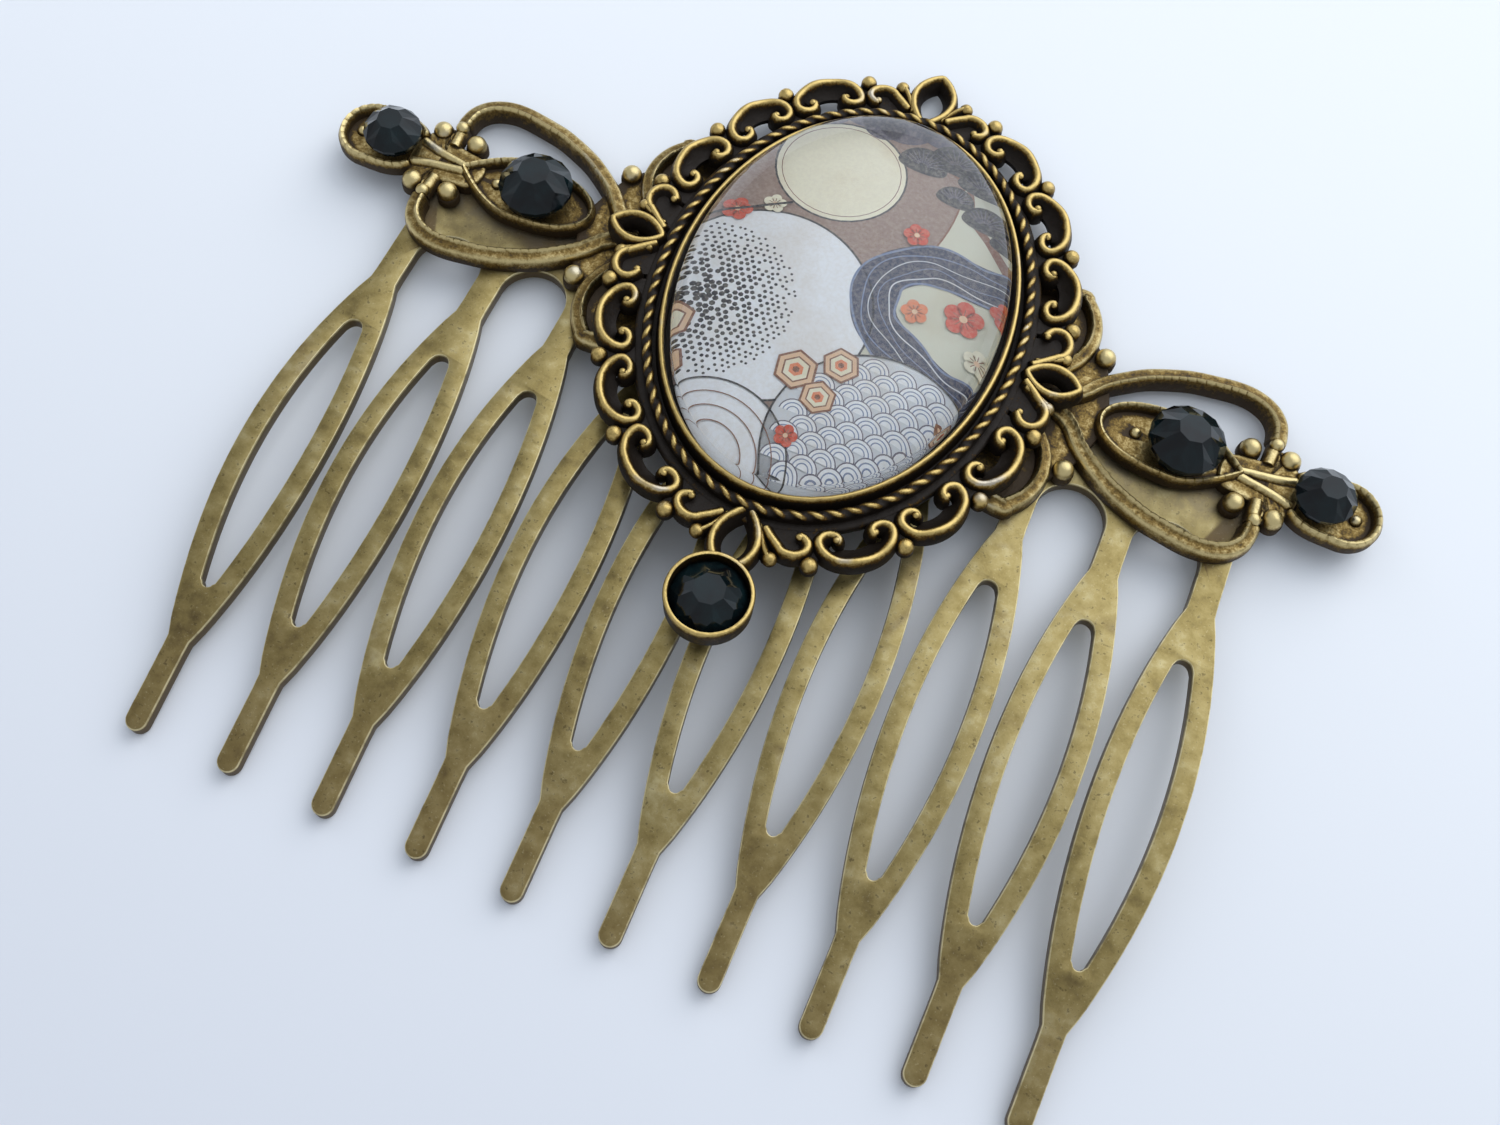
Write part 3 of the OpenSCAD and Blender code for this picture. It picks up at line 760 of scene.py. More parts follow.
def wing_quarter():
    """The upper half of the right wing: loop, side lobe, balls and stem ridges."""
    part = Part()
    loop = [(12.4, 0.2), (13.3, 0.45), (14.3, 1.05), (15.3, 2.2), (16.4, 3.1), (17.8, 3.95), (19.4, 4.6),
            (21.0, 4.98), (22.5, 5.16), (23.6, 5.08), (24.5, 4.66), (25.1, 3.95), (25.32, 3.15), (25.3, 2.55)]
    sweep(part, smooth(loop, 0.07), milled(BAND, 0.50, 0.07, BAND_CREST, 0.012), round_end=0.35)
    lobe = smooth(np.vstack([arc((10.6, 4.7), 3.2, -78, 56, 20), (9.6, 7.0)]), 0.08)[::-1]
    sweep(part, lobe, milled(scaled(BAND, 0.9), 0.85, 0.07, BAND_CREST), round_end=0.3)
    for x, y in ((24.05, 1.85), (26.3, 1.95), (14.85, 3.9)):
        ball(part, x, y, RIM_TOP - 0.52, 0.6)
        lathe(part, x, y, [(0.66, SHEET_Z, 0), (0.66, 0.5, 0.1), (0.55, 0.62, 0.2), (0.3, 0.66, 0.1)], 24)
    ball(part, 25.3, 2.5, 0.92, 0.4)
    sweep(part, smooth([(23.5, 0.1), (24.6, 0.3), (25.8, 0.5), (27.1, 0.85)], 0.1), RIDGE, round_end=0.2)
    sweep(part, smooth([(25.2, 1.2), (25.25, 1.9), (25.3, 2.6)], 0.1), scaled(RIDGE, 1.2, 0.8))
    return part


def wing():
    """The right wing, with its stone plates, root and stem."""
    part = Part()
    eye = marquise()
    sweep(part, even(eye, 0.08, True), milled(CORD, 0.46, 0.025, CORD_CREST), closed=True)
    plate(part, even(eye, 0.3, True), SHEET_Z, PLATE_TOP, 0.42)
    side = arr([(26.9, 1.05), (27.5, 1.5), (28.4, 1.76)])
    tip = np.vstack([side, arc((29.9, 0), 1.8, 90, -90, 20), side[::-1] * [1, -1]])
    sweep(part, smooth(tip, 0.08), milled(scaled(CORD, 1.15), 0.50, 0.06, CORD_CREST), round_end=0.2)
    plate(part, even(tip, 0.3, True), SHEET_Z, PLATE_TOP, 0.42)
    root = [(7, 5.4), (11.2, 7.4), (12.6, 7), (13.6, 5.4), (15.1, 3.7), (15.6, 2.5), (16.1, 0.9)]
    plate(part, both(root), SHEET_Z, PLATE_TOP, 0.42)
    stem = [(23, 0.95), (25.4, 1.5), (25.4, 2.3), (26.3, 2.2), (27.2, 0.95)]
    plate(part, smooth(both(stem), 0.25, True), SHEET_Z, 0.80, 0.42, 0.16)
    quarter = wing_quarter()
    for mirror in (1, -1):
        part.copy_of(quarter, y=mirror)
    return part


def filigree_piece():
    part = Part()
    half = wing()
    for mirror in (1, -1):
        part.copy_of(half, x=mirror)
    plate(part, oval(9.5, 6, 6), SHEET_Z, PLATE_TOP, 0.2)
    # Small beads beside the stones
    for x, y in ((-21.75, -0.05), (17.85, 0.1), (-30.68, 0), (30.58, 0)):
        ball(part, x, y, PLATE_TOP, 0.36, 0.9, steps=16)
    return make(part, "filigree_detail", "wing_brass", ["filigree"], 50)


# Setting

def wire(top, low=LACE_BACK + 0.02, k=1.0, flange=0.0):
    """Section of a cast scroll: crest near its outer side, and a dark slope inside."""
    rows = [(0.40, low, 0.0), (0.40, low + 0.40, 0.05), (0.33, top - 0.34, 0.25), (0.25, top - 0.12, 0.6),
            (0.16, top - 0.02, 1.1), (0.06, top, 1.15), (-0.04, top - 0.07, 0.7), (-0.13, top - 0.24, 0.2),
            (-0.24, top - 0.52, 0.0), (-0.36 - flange, low + 0.28, 0.0), (-0.36 - flange, low, 0.0)]
    return scaled(rows, k)


def oval_frame(part):
    """The back plate, the bezel round the glass and the channel for the rope."""
    # Rows of (distance out from the glass, height, wear)
    rows = [(-0.7, 1.36, 0), (-0.7, 1.56, 0), (0.27, 1.56, 0), (0.29, 1.7, 0), (0.33, BEZEL_TOP - 0.2, 0.2),
            (0.37, BEZEL_TOP - 0.06, 0.8), (0.44, BEZEL_TOP, 1.15), (0.53, BEZEL_TOP, 1.15),
            (0.61, BEZEL_TOP - 0.08, 0.8), (0.68, 2.5, 0.25), (0.73, 2.0, 0.05), (0.80, 1.88, 0),
            (0.98, LACE_TOP, 0), (1.56, LACE_TOP, 0), (1.86, 1.87, 0.15), (1.99, 1.8, 0.3), (2.03, 1.66, 0.1),
            (2.0, 1.36, 0)]
    sweep(part, oval_path(300), scaled(rows, -1), closed=True)
    plate(part, oval_path(80, -0.6), BACK_Z, 1.46, 0.1)
    bed = [(1.0, 1.8, 0), (1.06, 2.2, 0), (1.48, 2.2, 0), (1.54, 1.8, 0)]
    sweep(part, oval_path(200), scaled(bed, -1), closed=True)


def rope_ring(part):
    """A twisted ring: a cord of two lobes that run round it, one turn of a lobe to a strand."""
    spots = 8 * ROPE_STRANDS
    around = 16
    line = oval_path(spots, ROPE_OUT)
    side = normals(line, True)
    v, w = [], []
    for i in range(spots):
        for k in range(around):
            a = 2 * math.pi * k / around
            lobe = abs(math.cos(a + math.pi * i / 8)) ** 0.9
            r = ROPE_CORE + ROPE_LOBE * lobe
            xy = line[i] - side[i] * r * math.cos(a)
            v.append((xy[0], xy[1], ROPE_Z + r * math.sin(a)))
            w.append(max(0.0, (lobe - 0.55) * 2.4) * max(0.0, 0.1 + 0.95 * math.sin(a)))
    part.add(v, [(a, d, c, b) for a, b, c, d in quads(spots, around, True)], w)


def volute(mid, steps):
    """A curl that winds inwards, from its outer side."""
    t = np.linspace(0, 1, steps + 1)
    a = np.radians(180 + 225 * t)
    r = 0.45 - 0.31 * t
    return np.stack([mid[0] + r * np.cos(a), mid[1] + r * np.sin(a)], 1)


def scroll_path(half):
    """An arch between two curls, laid out along a straight edge."""
    mid, rise = 2.66, 1.24
    left = volute((0.45 - half, mid), 22)
    a = np.radians(np.linspace(180, 0, 34))
    top = np.stack([half * np.cos(a), mid + rise * np.sin(a)], 1)
    return np.vstack([left[:0:-1], top, left[1:] * [-1, 1]])


def edge_scroll(part, a, half):
    """One scroll at angle a of the oval; its wire spreads to a flange under the arch."""
    def section(s, total):
        inner = min(s, total - s) / total
        flange = 0.30 * max(0.0, min(1.0, (inner - 0.27) / 0.08))
        return wire(SCROLL_TOP + 0.05 * math.sin(s * 3 + a), k=1.22, flange=flange)
    path = even(laid(a, scroll_path(half)), 0.06)
    sweep(part, path, section, round_end=0.2)
    for end in (path[3], path[-4]):
        ball(part, end[0], end[1], SCROLL_TOP - 0.20, 0.23, steps=12)


def edge_ball(part, a):
    """A ball on a short arm between two scrolls."""
    arm = [(-0.5, 1.6), (-0.40, 3.2), (-0.26, 4.0), (0.26, 4.0), (0.40, 3.2), (0.5, 1.6)]
    plate(part, even(laid(a, arm), 0.15, True), *WEB, 0.05, 0.05, 0.15)
    x, y = laid(a, [(0, 3.88)])[0]
    ball(part, x, y, LACE_TOP + 0.02, 0.48, 0.95)
    lathe(part, x, y, [(0.44, LACE_BACK + 0.1, 0), (0.5, LACE_TOP - 0.3, 0.1), (0.46, LACE_TOP, 0.2)], 20)


def end_loop(part, a, half_length, half_width, mid):
    """The pointed loop at one end of the oval's axis, between two arcs."""
    r = (half_length ** 2 + half_width ** 2) / (2 * half_width)
    t = np.linspace(-1, 1, 30) * half_length
    right = np.stack([np.sqrt(r * r - t * t) - r + half_width, t + mid], 1)
    eye = np.vstack([right, right[-2:0:-1] * [-1, 1]])
    path = even(laid(a, eye), 0.08, True)[::-1]
    sweep(part, path, wire(SCROLL_TOP + 0.04, LACE_BACK, 1.12, 0.02), closed=True)


def end_hook(part, a, s, foot, mid, r, leaf):
    """The hook beside a pointed loop, on side s, its filled middle, and a leaf with a ball."""
    hook = np.vstack([[foot], arc(mid, r, 165, -75, 26)])
    path = laid(a, smooth(hook, 0.06) * [s, 1])[::s]
    sweep(part, path, wire(SCROLL_TOP, k=1.2), round_end=0.15)
    end = path[-3] if s > 0 else path[2]
    ball(part, end[0], end[1], SCROLL_TOP - 0.22, 0.24, steps=12)
    web = np.vstack([hook[1:-2], [(mid[0] + 0.2, 1.7), (foot[0] + 0.2, 1.7)]]) * [s, 1]
    plate(part, laid(a, web), *WEB, 0.05, 0.03, 0.1)
    path = laid(a, smooth(leaf, 0.08) * [s, 1])[::s]
    sweep(part, path, wire(SCROLL_TOP - 0.08, LACE_BACK + 0.04, 0.9), round_end=0.15)
    x, y = laid(a, [(s * leaf[2][0], leaf[2][1])])[0]
    ball(part, x, y, LACE_TOP + 0.04, 0.42, 0.9)


def stone_cup(part):
    """The cup for the lowest stone. What reached into it so far ends in its wall."""
    inner = CUP_R - 0.1
    for v in part.v:
        off = v[:, :2] - [0, CUP_Y]
        far = np.hypot(off[:, 0], off[:, 1])[:, None]
        pushed = [0, CUP_Y] + off * inner / np.maximum(far, 0.01)
        v[:, :2] = np.where(far < inner, pushed, v[:, :2])
    rows = [(0, 0.95, 0), (1.7, 0.95, 0), (2.1, 1.05, 0.1), (CUP_R - 0.04, 1.3, 0.2),
            (CUP_R - 0.02, 2.3, 0.3), (CUP_R, CUP_TOP - 0.19, 0.6), (CUP_R - 0.04, CUP_TOP - 0.05, 1.0),
            (CUP_R - 0.12, CUP_TOP, 1.15), (CUP_BORE + 0.04, CUP_TOP - 0.03, 0.9),
            (CUP_BORE, CUP_TOP - 0.15, 0.4), (CUP_BORE, CUP_FLOOR, 0), (0, CUP_FLOOR, 0)]
    lathe(part, 0, CUP_Y, rows, 64)


def setting_piece():
    part = Part()
    oval_frame(part)
    rope_ring(part)
    for turn in (-1, 1):
        for start in (0, 180):
            for angle, half in ((27.8, 1.45), (47.4, 1.5), (66.6, 1.56)):
                edge_scroll(part, start + turn * angle, half)
            for angle in (16.6, 37.5, 57, 76.2):
                edge_ball(part, start + turn * angle)
    for a in (0, 180):
        end_loop(part, a, half_length=1.8, half_width=0.72, mid=3.2)
        for s in (1, -1):
            end_hook(part, a, s, foot=(0.9, 1.95), mid=(2.03, 2.82), r=0.48,
                     leaf=[(0.72, 1.9), (0.98, 2.9), (1.3, 3.75)])
    for a in (90, 270):
        end_loop(part, a, half_length=1.42, half_width=0.64, mid=3.5)
        for s in (1, -1):
            end_hook(part, a, s, foot=(0.5, 1.93), mid=(2.02, 3.13), r=0.65,
                     leaf=[(0.85, 2.1), (1.1, 3.0), (1.4, 3.8)])
    stone_cup(part)
    return make(part, "setting_detail", "cast_brass", ["setting"], 50, rotate=True)


# Card: a generic pattern of a moon, pines, waves, dots and hexagons

TAUPE = lin(146, 122, 110)
SAGE = lin(206, 206, 186)
CREAM = lin(232, 226, 200)
WHITE = lin(232, 234, 236)
MIST = lin(208, 212, 216)
INK = lin(38, 36, 42)
NAVY = lin(44, 50, 78)
BLUE = lin(112, 128, 160)
RED = lin(206, 74, 44)
ORANGE = lin(226, 130, 84)
TAN = lin(224, 188, 152)
BROWN = lin(128, 78, 52)
VIOLET = lin(92, 86, 104)


class Card:
    """Flat shapes in painter's order, cut at the card's oval."""

    def __init__(self):
        self.v, self.f, self.c = [], [], []
        self.layer = 0
        self.edge = oval(CAB[0] - 0.02, CAB[1] - 0.02, 4)

    def piece(self, points, colour):
        """One convex polygon."""
        p = arr(points)
        if ((p[:, 0] / (CAB[0] - 0.05)) ** 2 + (p[:, 1] / (CAB[1] - 0.05)) ** 2 > 1).any():
            p = self.cut(p)
        if len(p) < 3:
            return
        if area(p) < 0:
            p = p[::-1]
        z = CARD_Z + 0.04 + 0.004 * self.layer
        n = len(self.v)
        self.v += [(x, y, z) for x, y in p]
        self.c += [colour] * len(p)
        self.f.append(tuple(range(n, n + len(p))))

    def cut(self, p):
        """What of the polygon is inside the card's edge."""
        for a, b in zip(self.edge, np.roll(self.edge, -1, 0)):
            side = (b[0] - a[0]) * (p[:, 1] - a[1]) - (b[1] - a[1]) * (p[:, 0] - a[0])
            if (side >= 0).all():
                continue
            out = []
            for k in range(len(p)):
                j = (k + 1) % len(p)
                if side[k] >= 0:
                    out.append(p[k])
                if (side[k] >= 0) != (side[j] >= 0):
                    out.append(p[k] + (p[j] - p[k]) * side[k] / (side[k] - side[j]))
            p = arr(out)
            if len(p) < 3:
                return p
        return p

    def up(self, layers=1):
        self.layer += layers

    def disc(self, mid, r, colour, steps=40):
        self.piece(arc(mid, r, 0, 360 - 360 / steps, steps - 1), colour)

    def hexagon(self, mid, r, colour, spin):
        self.piece(arc(mid, r, spin, spin + 300, 5), colour)

    def band(self, path, width, colour):
        path = arr(path)
        n = normals(path)
        w = np.broadcast_to(arr(width), (len(path),))[:, None] / 2
        a, b = path + n * w, path - n * w
        for i in range(len(path) - 1):
            self.piece([b[i], b[i + 1], a[i + 1], a[i]], colour)

    def ring(self, mid, r, width, colour, start=0, end=360, steps=40):
        self.band(arc(mid, r, start, end, steps), width, colour)

    def fan(self, mid, path, colour):
        for a, b in zip(path, path[1:]):
            self.piece([mid, a, b], colour)


def ground(c):
    """Dark on the left and pale on the right of a drifting edge."""
    c.piece(c.edge, TAUPE)
    c.up()
    t = np.linspace(0, 1, 40)
    edge = np.stack([1.8 + 1.5 * np.sin(t * 7) + 1.2 * t, 13 - 26 * t], 1)
    right = CAB[0] + 0.2
    for a, b in zip(edge, edge[1:]):
        c.piece([a, b, (right, b[1]), (right, a[1])], SAGE)
    c.up()
    c.band(edge, 0.09, BROWN)


def moon(c, mid, r):
    c.disc(mid, r, CREAM)
    c.up()
    c.ring(mid, r, 0.10, INK)
    c.ring(mid, r - 0.3, 0.04, BROWN)


def clouds(c):
    """Puffs over the top, all but the lowest with two light lines."""
    lined = [(-4.6, 11.2, 1.5), (-2.6, 12.0, 1.7), (-0.6, 11.6, 1.6), (1.3, 12.1, 1.5)]
    for x, y, r in lined + [(-1.6, 10.9, 1.1)]:
        c.disc((x, y), r, VIOLET)
    c.up()
    for x, y, r in lined:
        c.ring((x, y - 0.1), r * 0.72, 0.08, MIST, 20, 160, 20)
        c.ring((x, y - 0.1), r * 0.45, 0.06, MIST, 20, 160, 16)


def pine(c):
    """A branch with flat clumps of needles."""
    branch = smooth([(7.5, 4.2), (5.6, 6.0), (4.4, 7.0), (3.4, 9.0), (1.2, 9.6)], 0.3)
    clumps = [(1.0, 9.0, 1.3), (2.6, 9.8, 1.5), (4.2, 9.0, 1.3), (5.0, 6.9, 1.2), (6.6, 6.2, 1.1),
              (3.2, 7.6, 1.0)]
    c.band(branch, np.linspace(0.5, 0.22, len(branch)), BROWN)
    c.up()
    for x, y, r in clumps:
        lower = arc((x, y - 0.05), r * 0.98, 180, 360, 20) * [1, 0.35] + [0, y * 0.65]
        c.piece(np.vstack([arc((x, y), r, 0, 180, 20), lower]), INK)
    c.up()
    for x, y, r in clumps:
        for a in range(20, 161, 14):
            c.band([polar((x, y), 0.25, a), polar((x, y), r * 0.88, a)], 0.05, VIOLET)
    c.up()


def dotted_hill(c, mid, r):
    """A white hill with tie-dyed dots, largest near a spot on its left."""
    c.disc(mid, r, WHITE, 60)
    c.up()
    step = 0.34
    for i in range(-20, 21):
        for j in range(-20, 21):
            x = mid[0] + (i + 0.5 * (j % 2)) * step + rng.normal(0, 0.035)
            y = mid[1] + j * step * 0.87 + rng.normal(0, 0.035)
            far = math.hypot(x - mid[0] + 2.8, y - mid[1] + 0.6) / 4.6
            if math.dist((x, y), mid) < r - 0.35 and far < 1 and rng.random() > 0.06:
                c.hexagon((x, y), 0.165 * (1.08 - 0.62 * far), INK, rng.random() * 60)
    c.up()
    c.ring(mid, r, 0.11, INK, steps=72)


def stream(c):
    flow = smooth([(9.6, 4.6), (6.4, 3.4), (3.4, 3.2), (1.5, 1.4), (1.9, -1.0), (4.2, -2.6), (6.4, -3.4),
                   (9.6, -3.0)], 0.2)
    c.band(flow, 2.3, NAVY)
    c.up()
    side = normals(flow)
    # Lines in the water: distance from its middle, width and colour
    for d, width, colour in ((1.12, 0.12, BLUE), (-1.12, 0.12, BLUE), (0.72, 0.07, MIST), (0.3, 0.05, BLUE),
                             (-0.15, 0.05, MIST), (-0.62, 0.07, BLUE)):
        ripple = 0.10 * np.sin(run(flow) * 1.6 + d * 4)
        c.band(flow + side * (d + ripple)[:, None], width, colour)
    c.up()


def wave(c, mid):
    """One scale of the wave pattern, over those above it."""
    c.up(0.12)
    c.fan(mid, arc(mid, 0.72, 0, 180, 12), WHITE)
    c.up(0.02)
    for r, colour in ((0.70, VIOLET), (0.50, BLUE), (0.30, BLUE)):
        c.ring(mid, r, 0.06, colour, 0, 180, 12)


def lower_hills(c):
    """A hill of waves on the right and a ringed one on the left."""
    waves, waves_r = (4.4, -8.2), 5.4
    rings, rings_r = (-3.4, -11.6), 4.4
    c.disc(waves, waves_r, MIST, 60)
    c.disc(rings, rings_r, WHITE, 50)
    c.up()
    for j in range(12):
        y = waves[1] + 4.6 - j * 0.62
        for i in range(-6, 7):
            x = waves[0] + (i + 0.5 * (j % 2)) * 1.44
            if math.dist((x, y), waves) < waves_r - 0.5:
                wave(c, (x, y - 0.3))
    c.layer = round(c.layer) + 1
    c.ring(waves, waves_r, 0.10, INK, steps=72)
    c.ring(rings, rings_r, 0.09, INK, steps=60)
    for r in (3.7, 3.0, 2.3):
        c.ring(rings, r, 0.05, BROWN, steps=60)


def medallions(c):
    """Hexagons, each of six one inside the other, turned by their place."""
    for x, y, r in ((-0.6, -5.4, 1.15), (1.35, -4.3, 1.0), (0.9, -6.4, 0.95), (-7.3, -4.6, 1.2),
                    (-6.6, -6.9, 0.95), (7.3, -5.4, 1.0)):
        for share, colour in ((1.0, BROWN), (0.88, TAN), (0.66, BROWN), (0.58, CREAM), (0.34, ORANGE),
                              (0.16, BROWN)):
            c.up(0.12)
            c.hexagon((x, y), r * share, colour, (x * 37) % 60)
    c.layer = math.ceil(c.layer)


def blossom(c, mid, r, colour):
    """Five petals round a small disc with stamens, turned by its place."""
    spin = (mid[0] * 53) % 72
    c.up(0.2)
    for k in range(5):
        c.disc(polar(mid, r * 0.55, spin + 72 * k), r * 0.44, colour, 16)
    c.up(0.2)
    c.disc(mid, r * 0.2, TAN, 12)
    for k in range(10):
        a = spin + 36 * k
        c.band([polar(mid, r * 0.2, a), polar(mid, r * 0.55, a)], 0.04, BROWN)


def card_piece():
    c = Card()
    ground(c)
    moon(c, (-2.6, 6.9), 3.3)
    clouds(c)
    pine(c)
    dotted_hill(c, (-3.6, -2.4), 5.6)
    stream(c)
    lower_hills(c)
    medallions(c)
    for x, y, r, colour in ((5.9, 1.0, 1.05, RED), (3.6, 0.2, 0.72, ORANGE), (7.6, 2.4, 0.8, RED),
                            (7.2, -0.9, 0.7, CREAM), (-6.6, 2.6, 0.75, RED), (-5.0, 3.5, 0.6, CREAM),
                            (2.2, 4.6, 0.7, RED), (0.2, -8.9, 0.6, RED)):
        blossom(c, (x, y), r, colour)
    # Twig of the left blossoms
    c.band(smooth([(-9, 0.9), (-7.4, 2.2), (-6.0, 2.9), (-4.2, 3.9)], 0.2), 0.14, INK)

    part = Part()
    base = oval(CAB[0], CAB[1], 4)
    n = len(base)
    v = np.vstack([at_height(base, CARD_Z), at_height(base, CARD_Z + CARD_T)])
    part.add(v, quads(2, n) + caps(2, n), 0.0)
    part.add(c.v, c.f, 0.0)
    obj = make(part, "card_detail", "printed_card", ["print"], 38, rotate=True)
    ink = obj.data.color_attributes.new("ink", "FLOAT_COLOR", "POINT")
    ink.data.foreach_set("color", arr([TAUPE] * (2 * n) + c.c).astype(np.float32).ravel())
    return obj


# Glass and stones

def dome_piece():
    """The glass, open below, where the card lies in its foot."""
    # Rows of (share of the oval, height above the glass's foot)
    rows = [(1.0, CARD_Z + 0.1 - GLASS_Z), (1.0, GIRDLE_T - 0.08), (0.998, GIRDLE_T)]
    for a in np.radians(np.linspace(3, 87, 40)):
        rows.append((math.cos(a), GIRDLE_T + (CAB_T - GIRDLE_T) * math.sin(a)))
    v = [at_height(oval(CAB[0] * share, CAB[1] * share, 3), GLASS_Z + z) for share, z in rows]
    n = len(v[0])
    last = (len(rows) - 1) * n
    top = [(last + k, last + (k + 1) % n, last + n) for k in range(n)]
    part = Part()
    part.add(np.vstack(v + [(0, 0, GLASS_Z + CAB_T)]), quads(len(rows), n) + top, 1.0)
    return make(part, "dome_detail", "dome_glass", ["cabochon"], 60, rotate=True)


def stone_piece(node, at, width, spin, lean, rotate=False):
    """A black stone: flat back, girdle, kites and stars round a small table, a little tilted on its seat."""
    r = width / 2
    # Rows of (corners, share of the radius, height as a share of the radius, turn)
    rows = [(16, 0.92, 0.0, 0), (16, 1.0, 0.20, 0), (16, 1.0, 0.31, 0), (8, 0.76, 0.64, 22.5),
            (8, 0.43, 0.88, 22.5)]
    v = []
    for n, share, height, turn in rows:
        for k in range(n):
            x, y = polar((0, 0), r * share, spin + turn + 360 * k / n)
            z = r * height + (x * lean[0] + y * lean[1]) * height
            v.append((at[0] + x, at[1] + y, at[2] + z))
    girdle, kites, table = 32, 48, 56
    f = [tuple(range(15, -1, -1))] + quads(3, 16)
    for k in range(8):
        n = (k + 1) % 8
        low, mid, after = girdle + 2 * k, girdle + 2 * k + 1, girdle + (2 * k + 2) % 16
        f += [(low, mid, kites + k), (mid, after, kites + k), (after, table + n, table + k, kites + k),
              (after, kites + n, table + n)]
    f.append(tuple(range(table, table + 8)))
    part = Part()
    part.add(v, f, 1.0)
    return make(part, node + "_cut", "jet", [node], 1, rotate)


def shade_openness(objs):
    """How much of the sky each vertex sees close by, kept as an attribute for the patina in hollows and for
    painted shade under and between parts.
    """
    reach = 0.0016
    verts, polys, spans = [], [], []
    for obj in objs:
        n = len(verts)
        verts += [v.co for v in obj.data.vertices]
        polys += [tuple(i + n for i in p.vertices) for p in obj.data.polygons]
        spans.append((obj, n, len(verts)))
    tree = BVHTree.FromPolygons(verts, polys)
    # Directions evenly over the half sphere, on a sunflower spiral
    rays = 18
    i = np.arange(rays) + 0.5
    cos = np.sqrt(1 - i / rays)
    sin = np.sqrt(1 - cos ** 2)
    turn = i * math.pi * (3 - math.sqrt(5))
    local = np.stack([sin * np.cos(turn), sin * np.sin(turn), cos], 1)
    for obj, start, end in spans:
        out = np.zeros(end - start, np.float32)
        for j, v in enumerate(obj.data.vertices):
            n = v.normal
            t = n.orthogonal().normalized()
            s = n.cross(t)
            free = 0.0
            for d in local:
                way = t * d[0] + s * d[1] + n * d[2]
                distance = tree.ray_cast(v.co + n * 0.00002, way, reach)[3]
                free += 1.0 if distance is None else min(1.0, distance / reach) * 0.6
            out[j] = free / rays
        at = obj.data.attributes.new("open", "FLOAT", "POINT")
        at.data.foreach_set("value", out)


comb = comb_piece()
filigree = filigree_piece()
setting = setting_piece()
card_piece()
dome_piece()
shade_openness([comb, filigree, setting])
stone_piece("stone_bottom", (0, CUP_Y, CUP_SEAT), 4.1, 8, (0.05, 0.02), True)
stone_piece("stone_wing_left", (-19.15, 0.05, WING_SEAT), 4.3, 4, (-0.02, 0.04))
stone_piece("stone_wing_right", (20.45, 0.1, WING_SEAT), 4.3, 15, (-0.05, -0.08))
stone_piece("stone_tip_left", (-28.5, 0.05, WING_SEAT), 3.4, 10, (-0.06, 0.05))
stone_piece("stone_tip_right", (28.4, 0.1, WING_SEAT), 3.4, 2, (0.08, -0.03))

# Camera: the photo's place and lens, in the ornament's frame
CAM_AT = (9.463, -43.546, 67.761)
CAM_RIGHT = (0.91704, 0.39546, 0.05152)
CAM_LOOK = (-0.11073, 0.37660, -0.91973)
SENSOR = 36.0
FOCAL_PX = 1385.9
PHOTO_W = 1500

# Room: a glow on the side that the key light comes from, and a floor of 6 by 6 metres
GLOW_WAY = (0.30, 0.70, 0.65)
FLOOR_HALF = 3.0


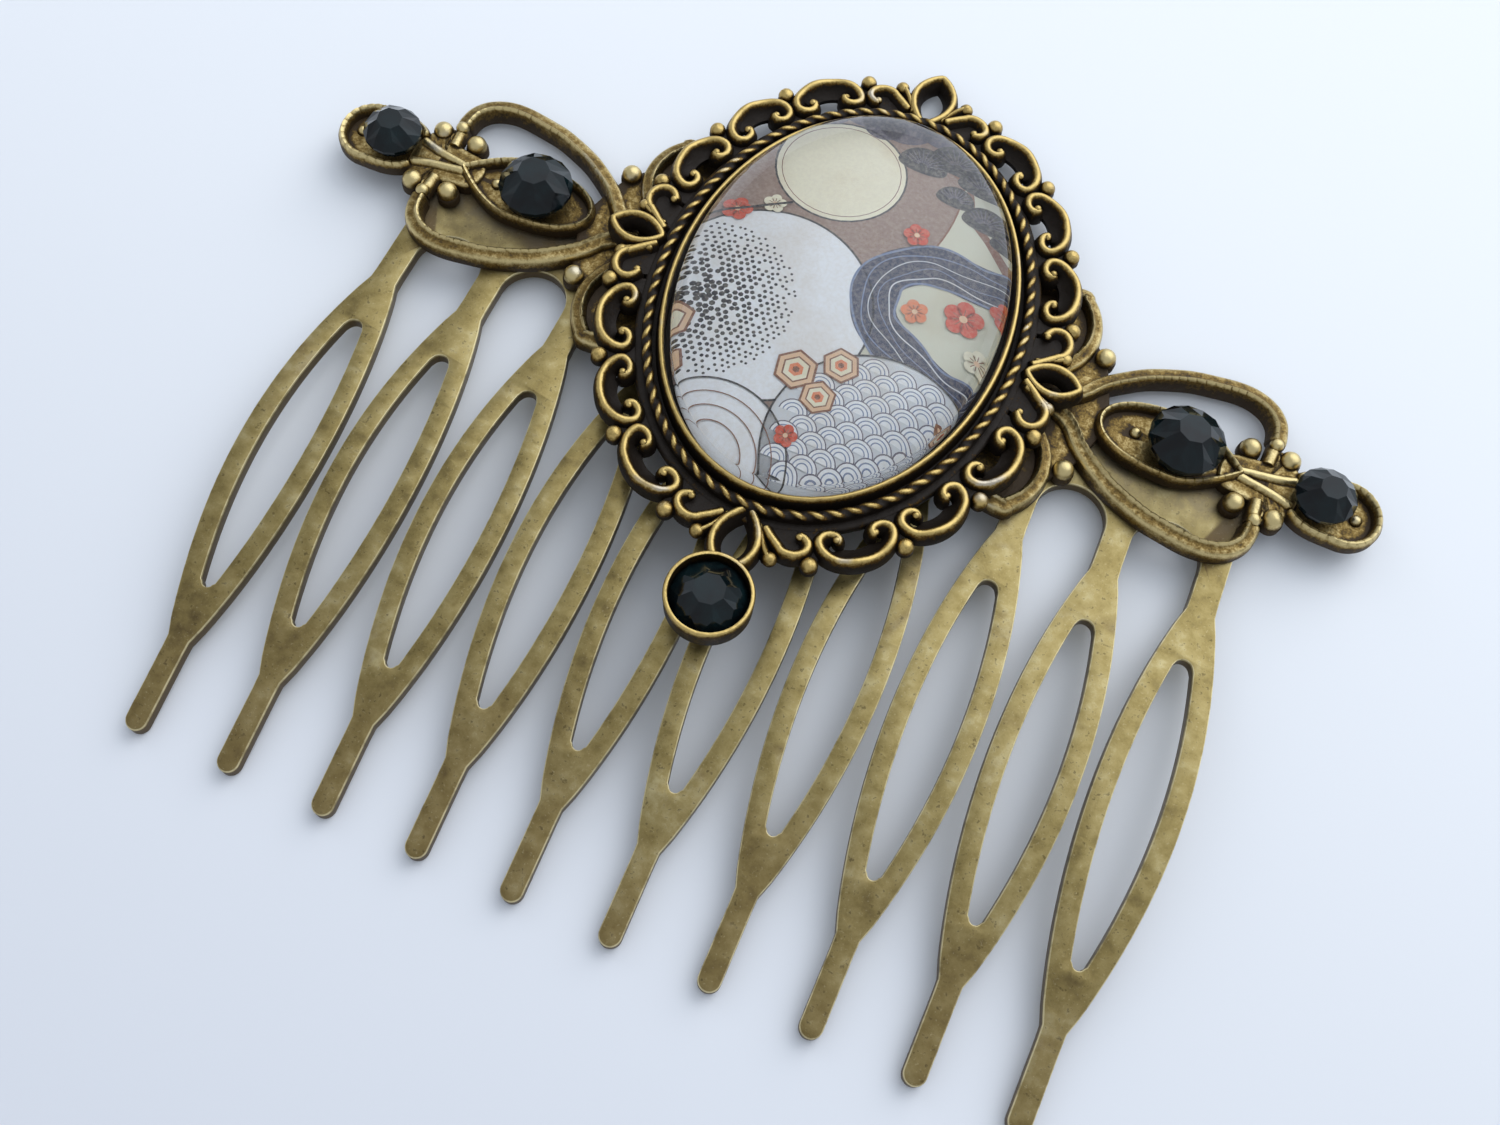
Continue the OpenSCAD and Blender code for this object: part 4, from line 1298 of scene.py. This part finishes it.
def photo_camera():
    cam = placed("camera", bpy.data.cameras.new("camera"))
    cam.data.sensor_width = SENSOR
    cam.data.lens = FOCAL_PX * SENSOR / PHOTO_W
    cam.data.clip_start = 0.005
    z = -Vector(REST @ arr(CAM_LOOK)).normalized()
    x = Vector(REST @ arr(CAM_RIGHT)).normalized()
    y = z.cross(x).normalized()
    m = Matrix((y.cross(z), y, z)).transposed().to_4x4()
    m.translation = to_row([CAM_AT])[0]
    cam.matrix_world = m
    bpy.context.scene.camera = cam


def softbox(name, at, size, power, colour):
    """A large soft light aimed at the oval and left out of reflections; places in millimetres."""
    data = bpy.data.lights.new(name, "AREA")
    data.shape = "RECTANGLE"
    data.size, data.size_y = size[0] / 1000, size[1] / 1000
    data.energy = power
    data.color = colour
    obj = placed(name, data)
    obj.location = to_row([at])[0]
    aim = Vector(to_row([(0, 0, 0)])[0]) - obj.location
    obj.rotation_mode = "QUATERNION"
    obj.rotation_quaternion = aim.to_track_quat("-Z", "Y")
    obj.visible_glossy = False


def room():
    """A pale room all round, brighter on one side."""
    world = bpy.data.worlds.new("room")
    bpy.context.scene.world = world
    world.use_nodes = True
    nt = world.node_tree
    sky = nt.nodes["Background"]
    sky.inputs["Color"].default_value = (0.86, 0.92, 1.0, 1.0)
    way = nt.nodes.new("ShaderNodeTexCoord")
    dot = nt.nodes.new("ShaderNodeVectorMath")
    dot.operation = "DOT_PRODUCT"
    dot.inputs[1].default_value = Vector(GLOW_WAY).normalized()
    nt.links.new(way.outputs["Generated"], dot.inputs[0])
    glow = nt.nodes.new("ShaderNodeMapRange")
    glow.interpolation_type = "SMOOTHERSTEP"
    for k, v in (("From Min", 0.55), ("From Max", 1.0), ("To Min", 0.62), ("To Max", 2.15)):
        glow.inputs[k].default_value = v
    nt.links.new(dot.outputs["Value"], glow.inputs["Value"])
    nt.links.new(glow.outputs["Result"], sky.inputs["Strength"])


photo_camera()
softbox("key", (190, 390, 350), (420, 420), 1.5, (1.0, 0.985, 0.96))
softbox("fill", (-420, 180, 260), (200, 360), 0.3, (0.86, 0.93, 1.0))
room()

floor_mesh = bpy.data.meshes.new("floor")
floor_mesh.from_pydata([(x * FLOOR_HALF, y * FLOOR_HALF, 0) for x, y in ((-1, -1), (1, -1), (1, 1), (-1, 1))],
                       [], [(0, 1, 2, 3)])
floor_mesh.materials.append(floor_cloth())
floor = placed("floor", floor_mesh)

bpy.context.scene.view_settings.view_transform = "Standard"
bpy.context.scene.view_settings.look = "None"
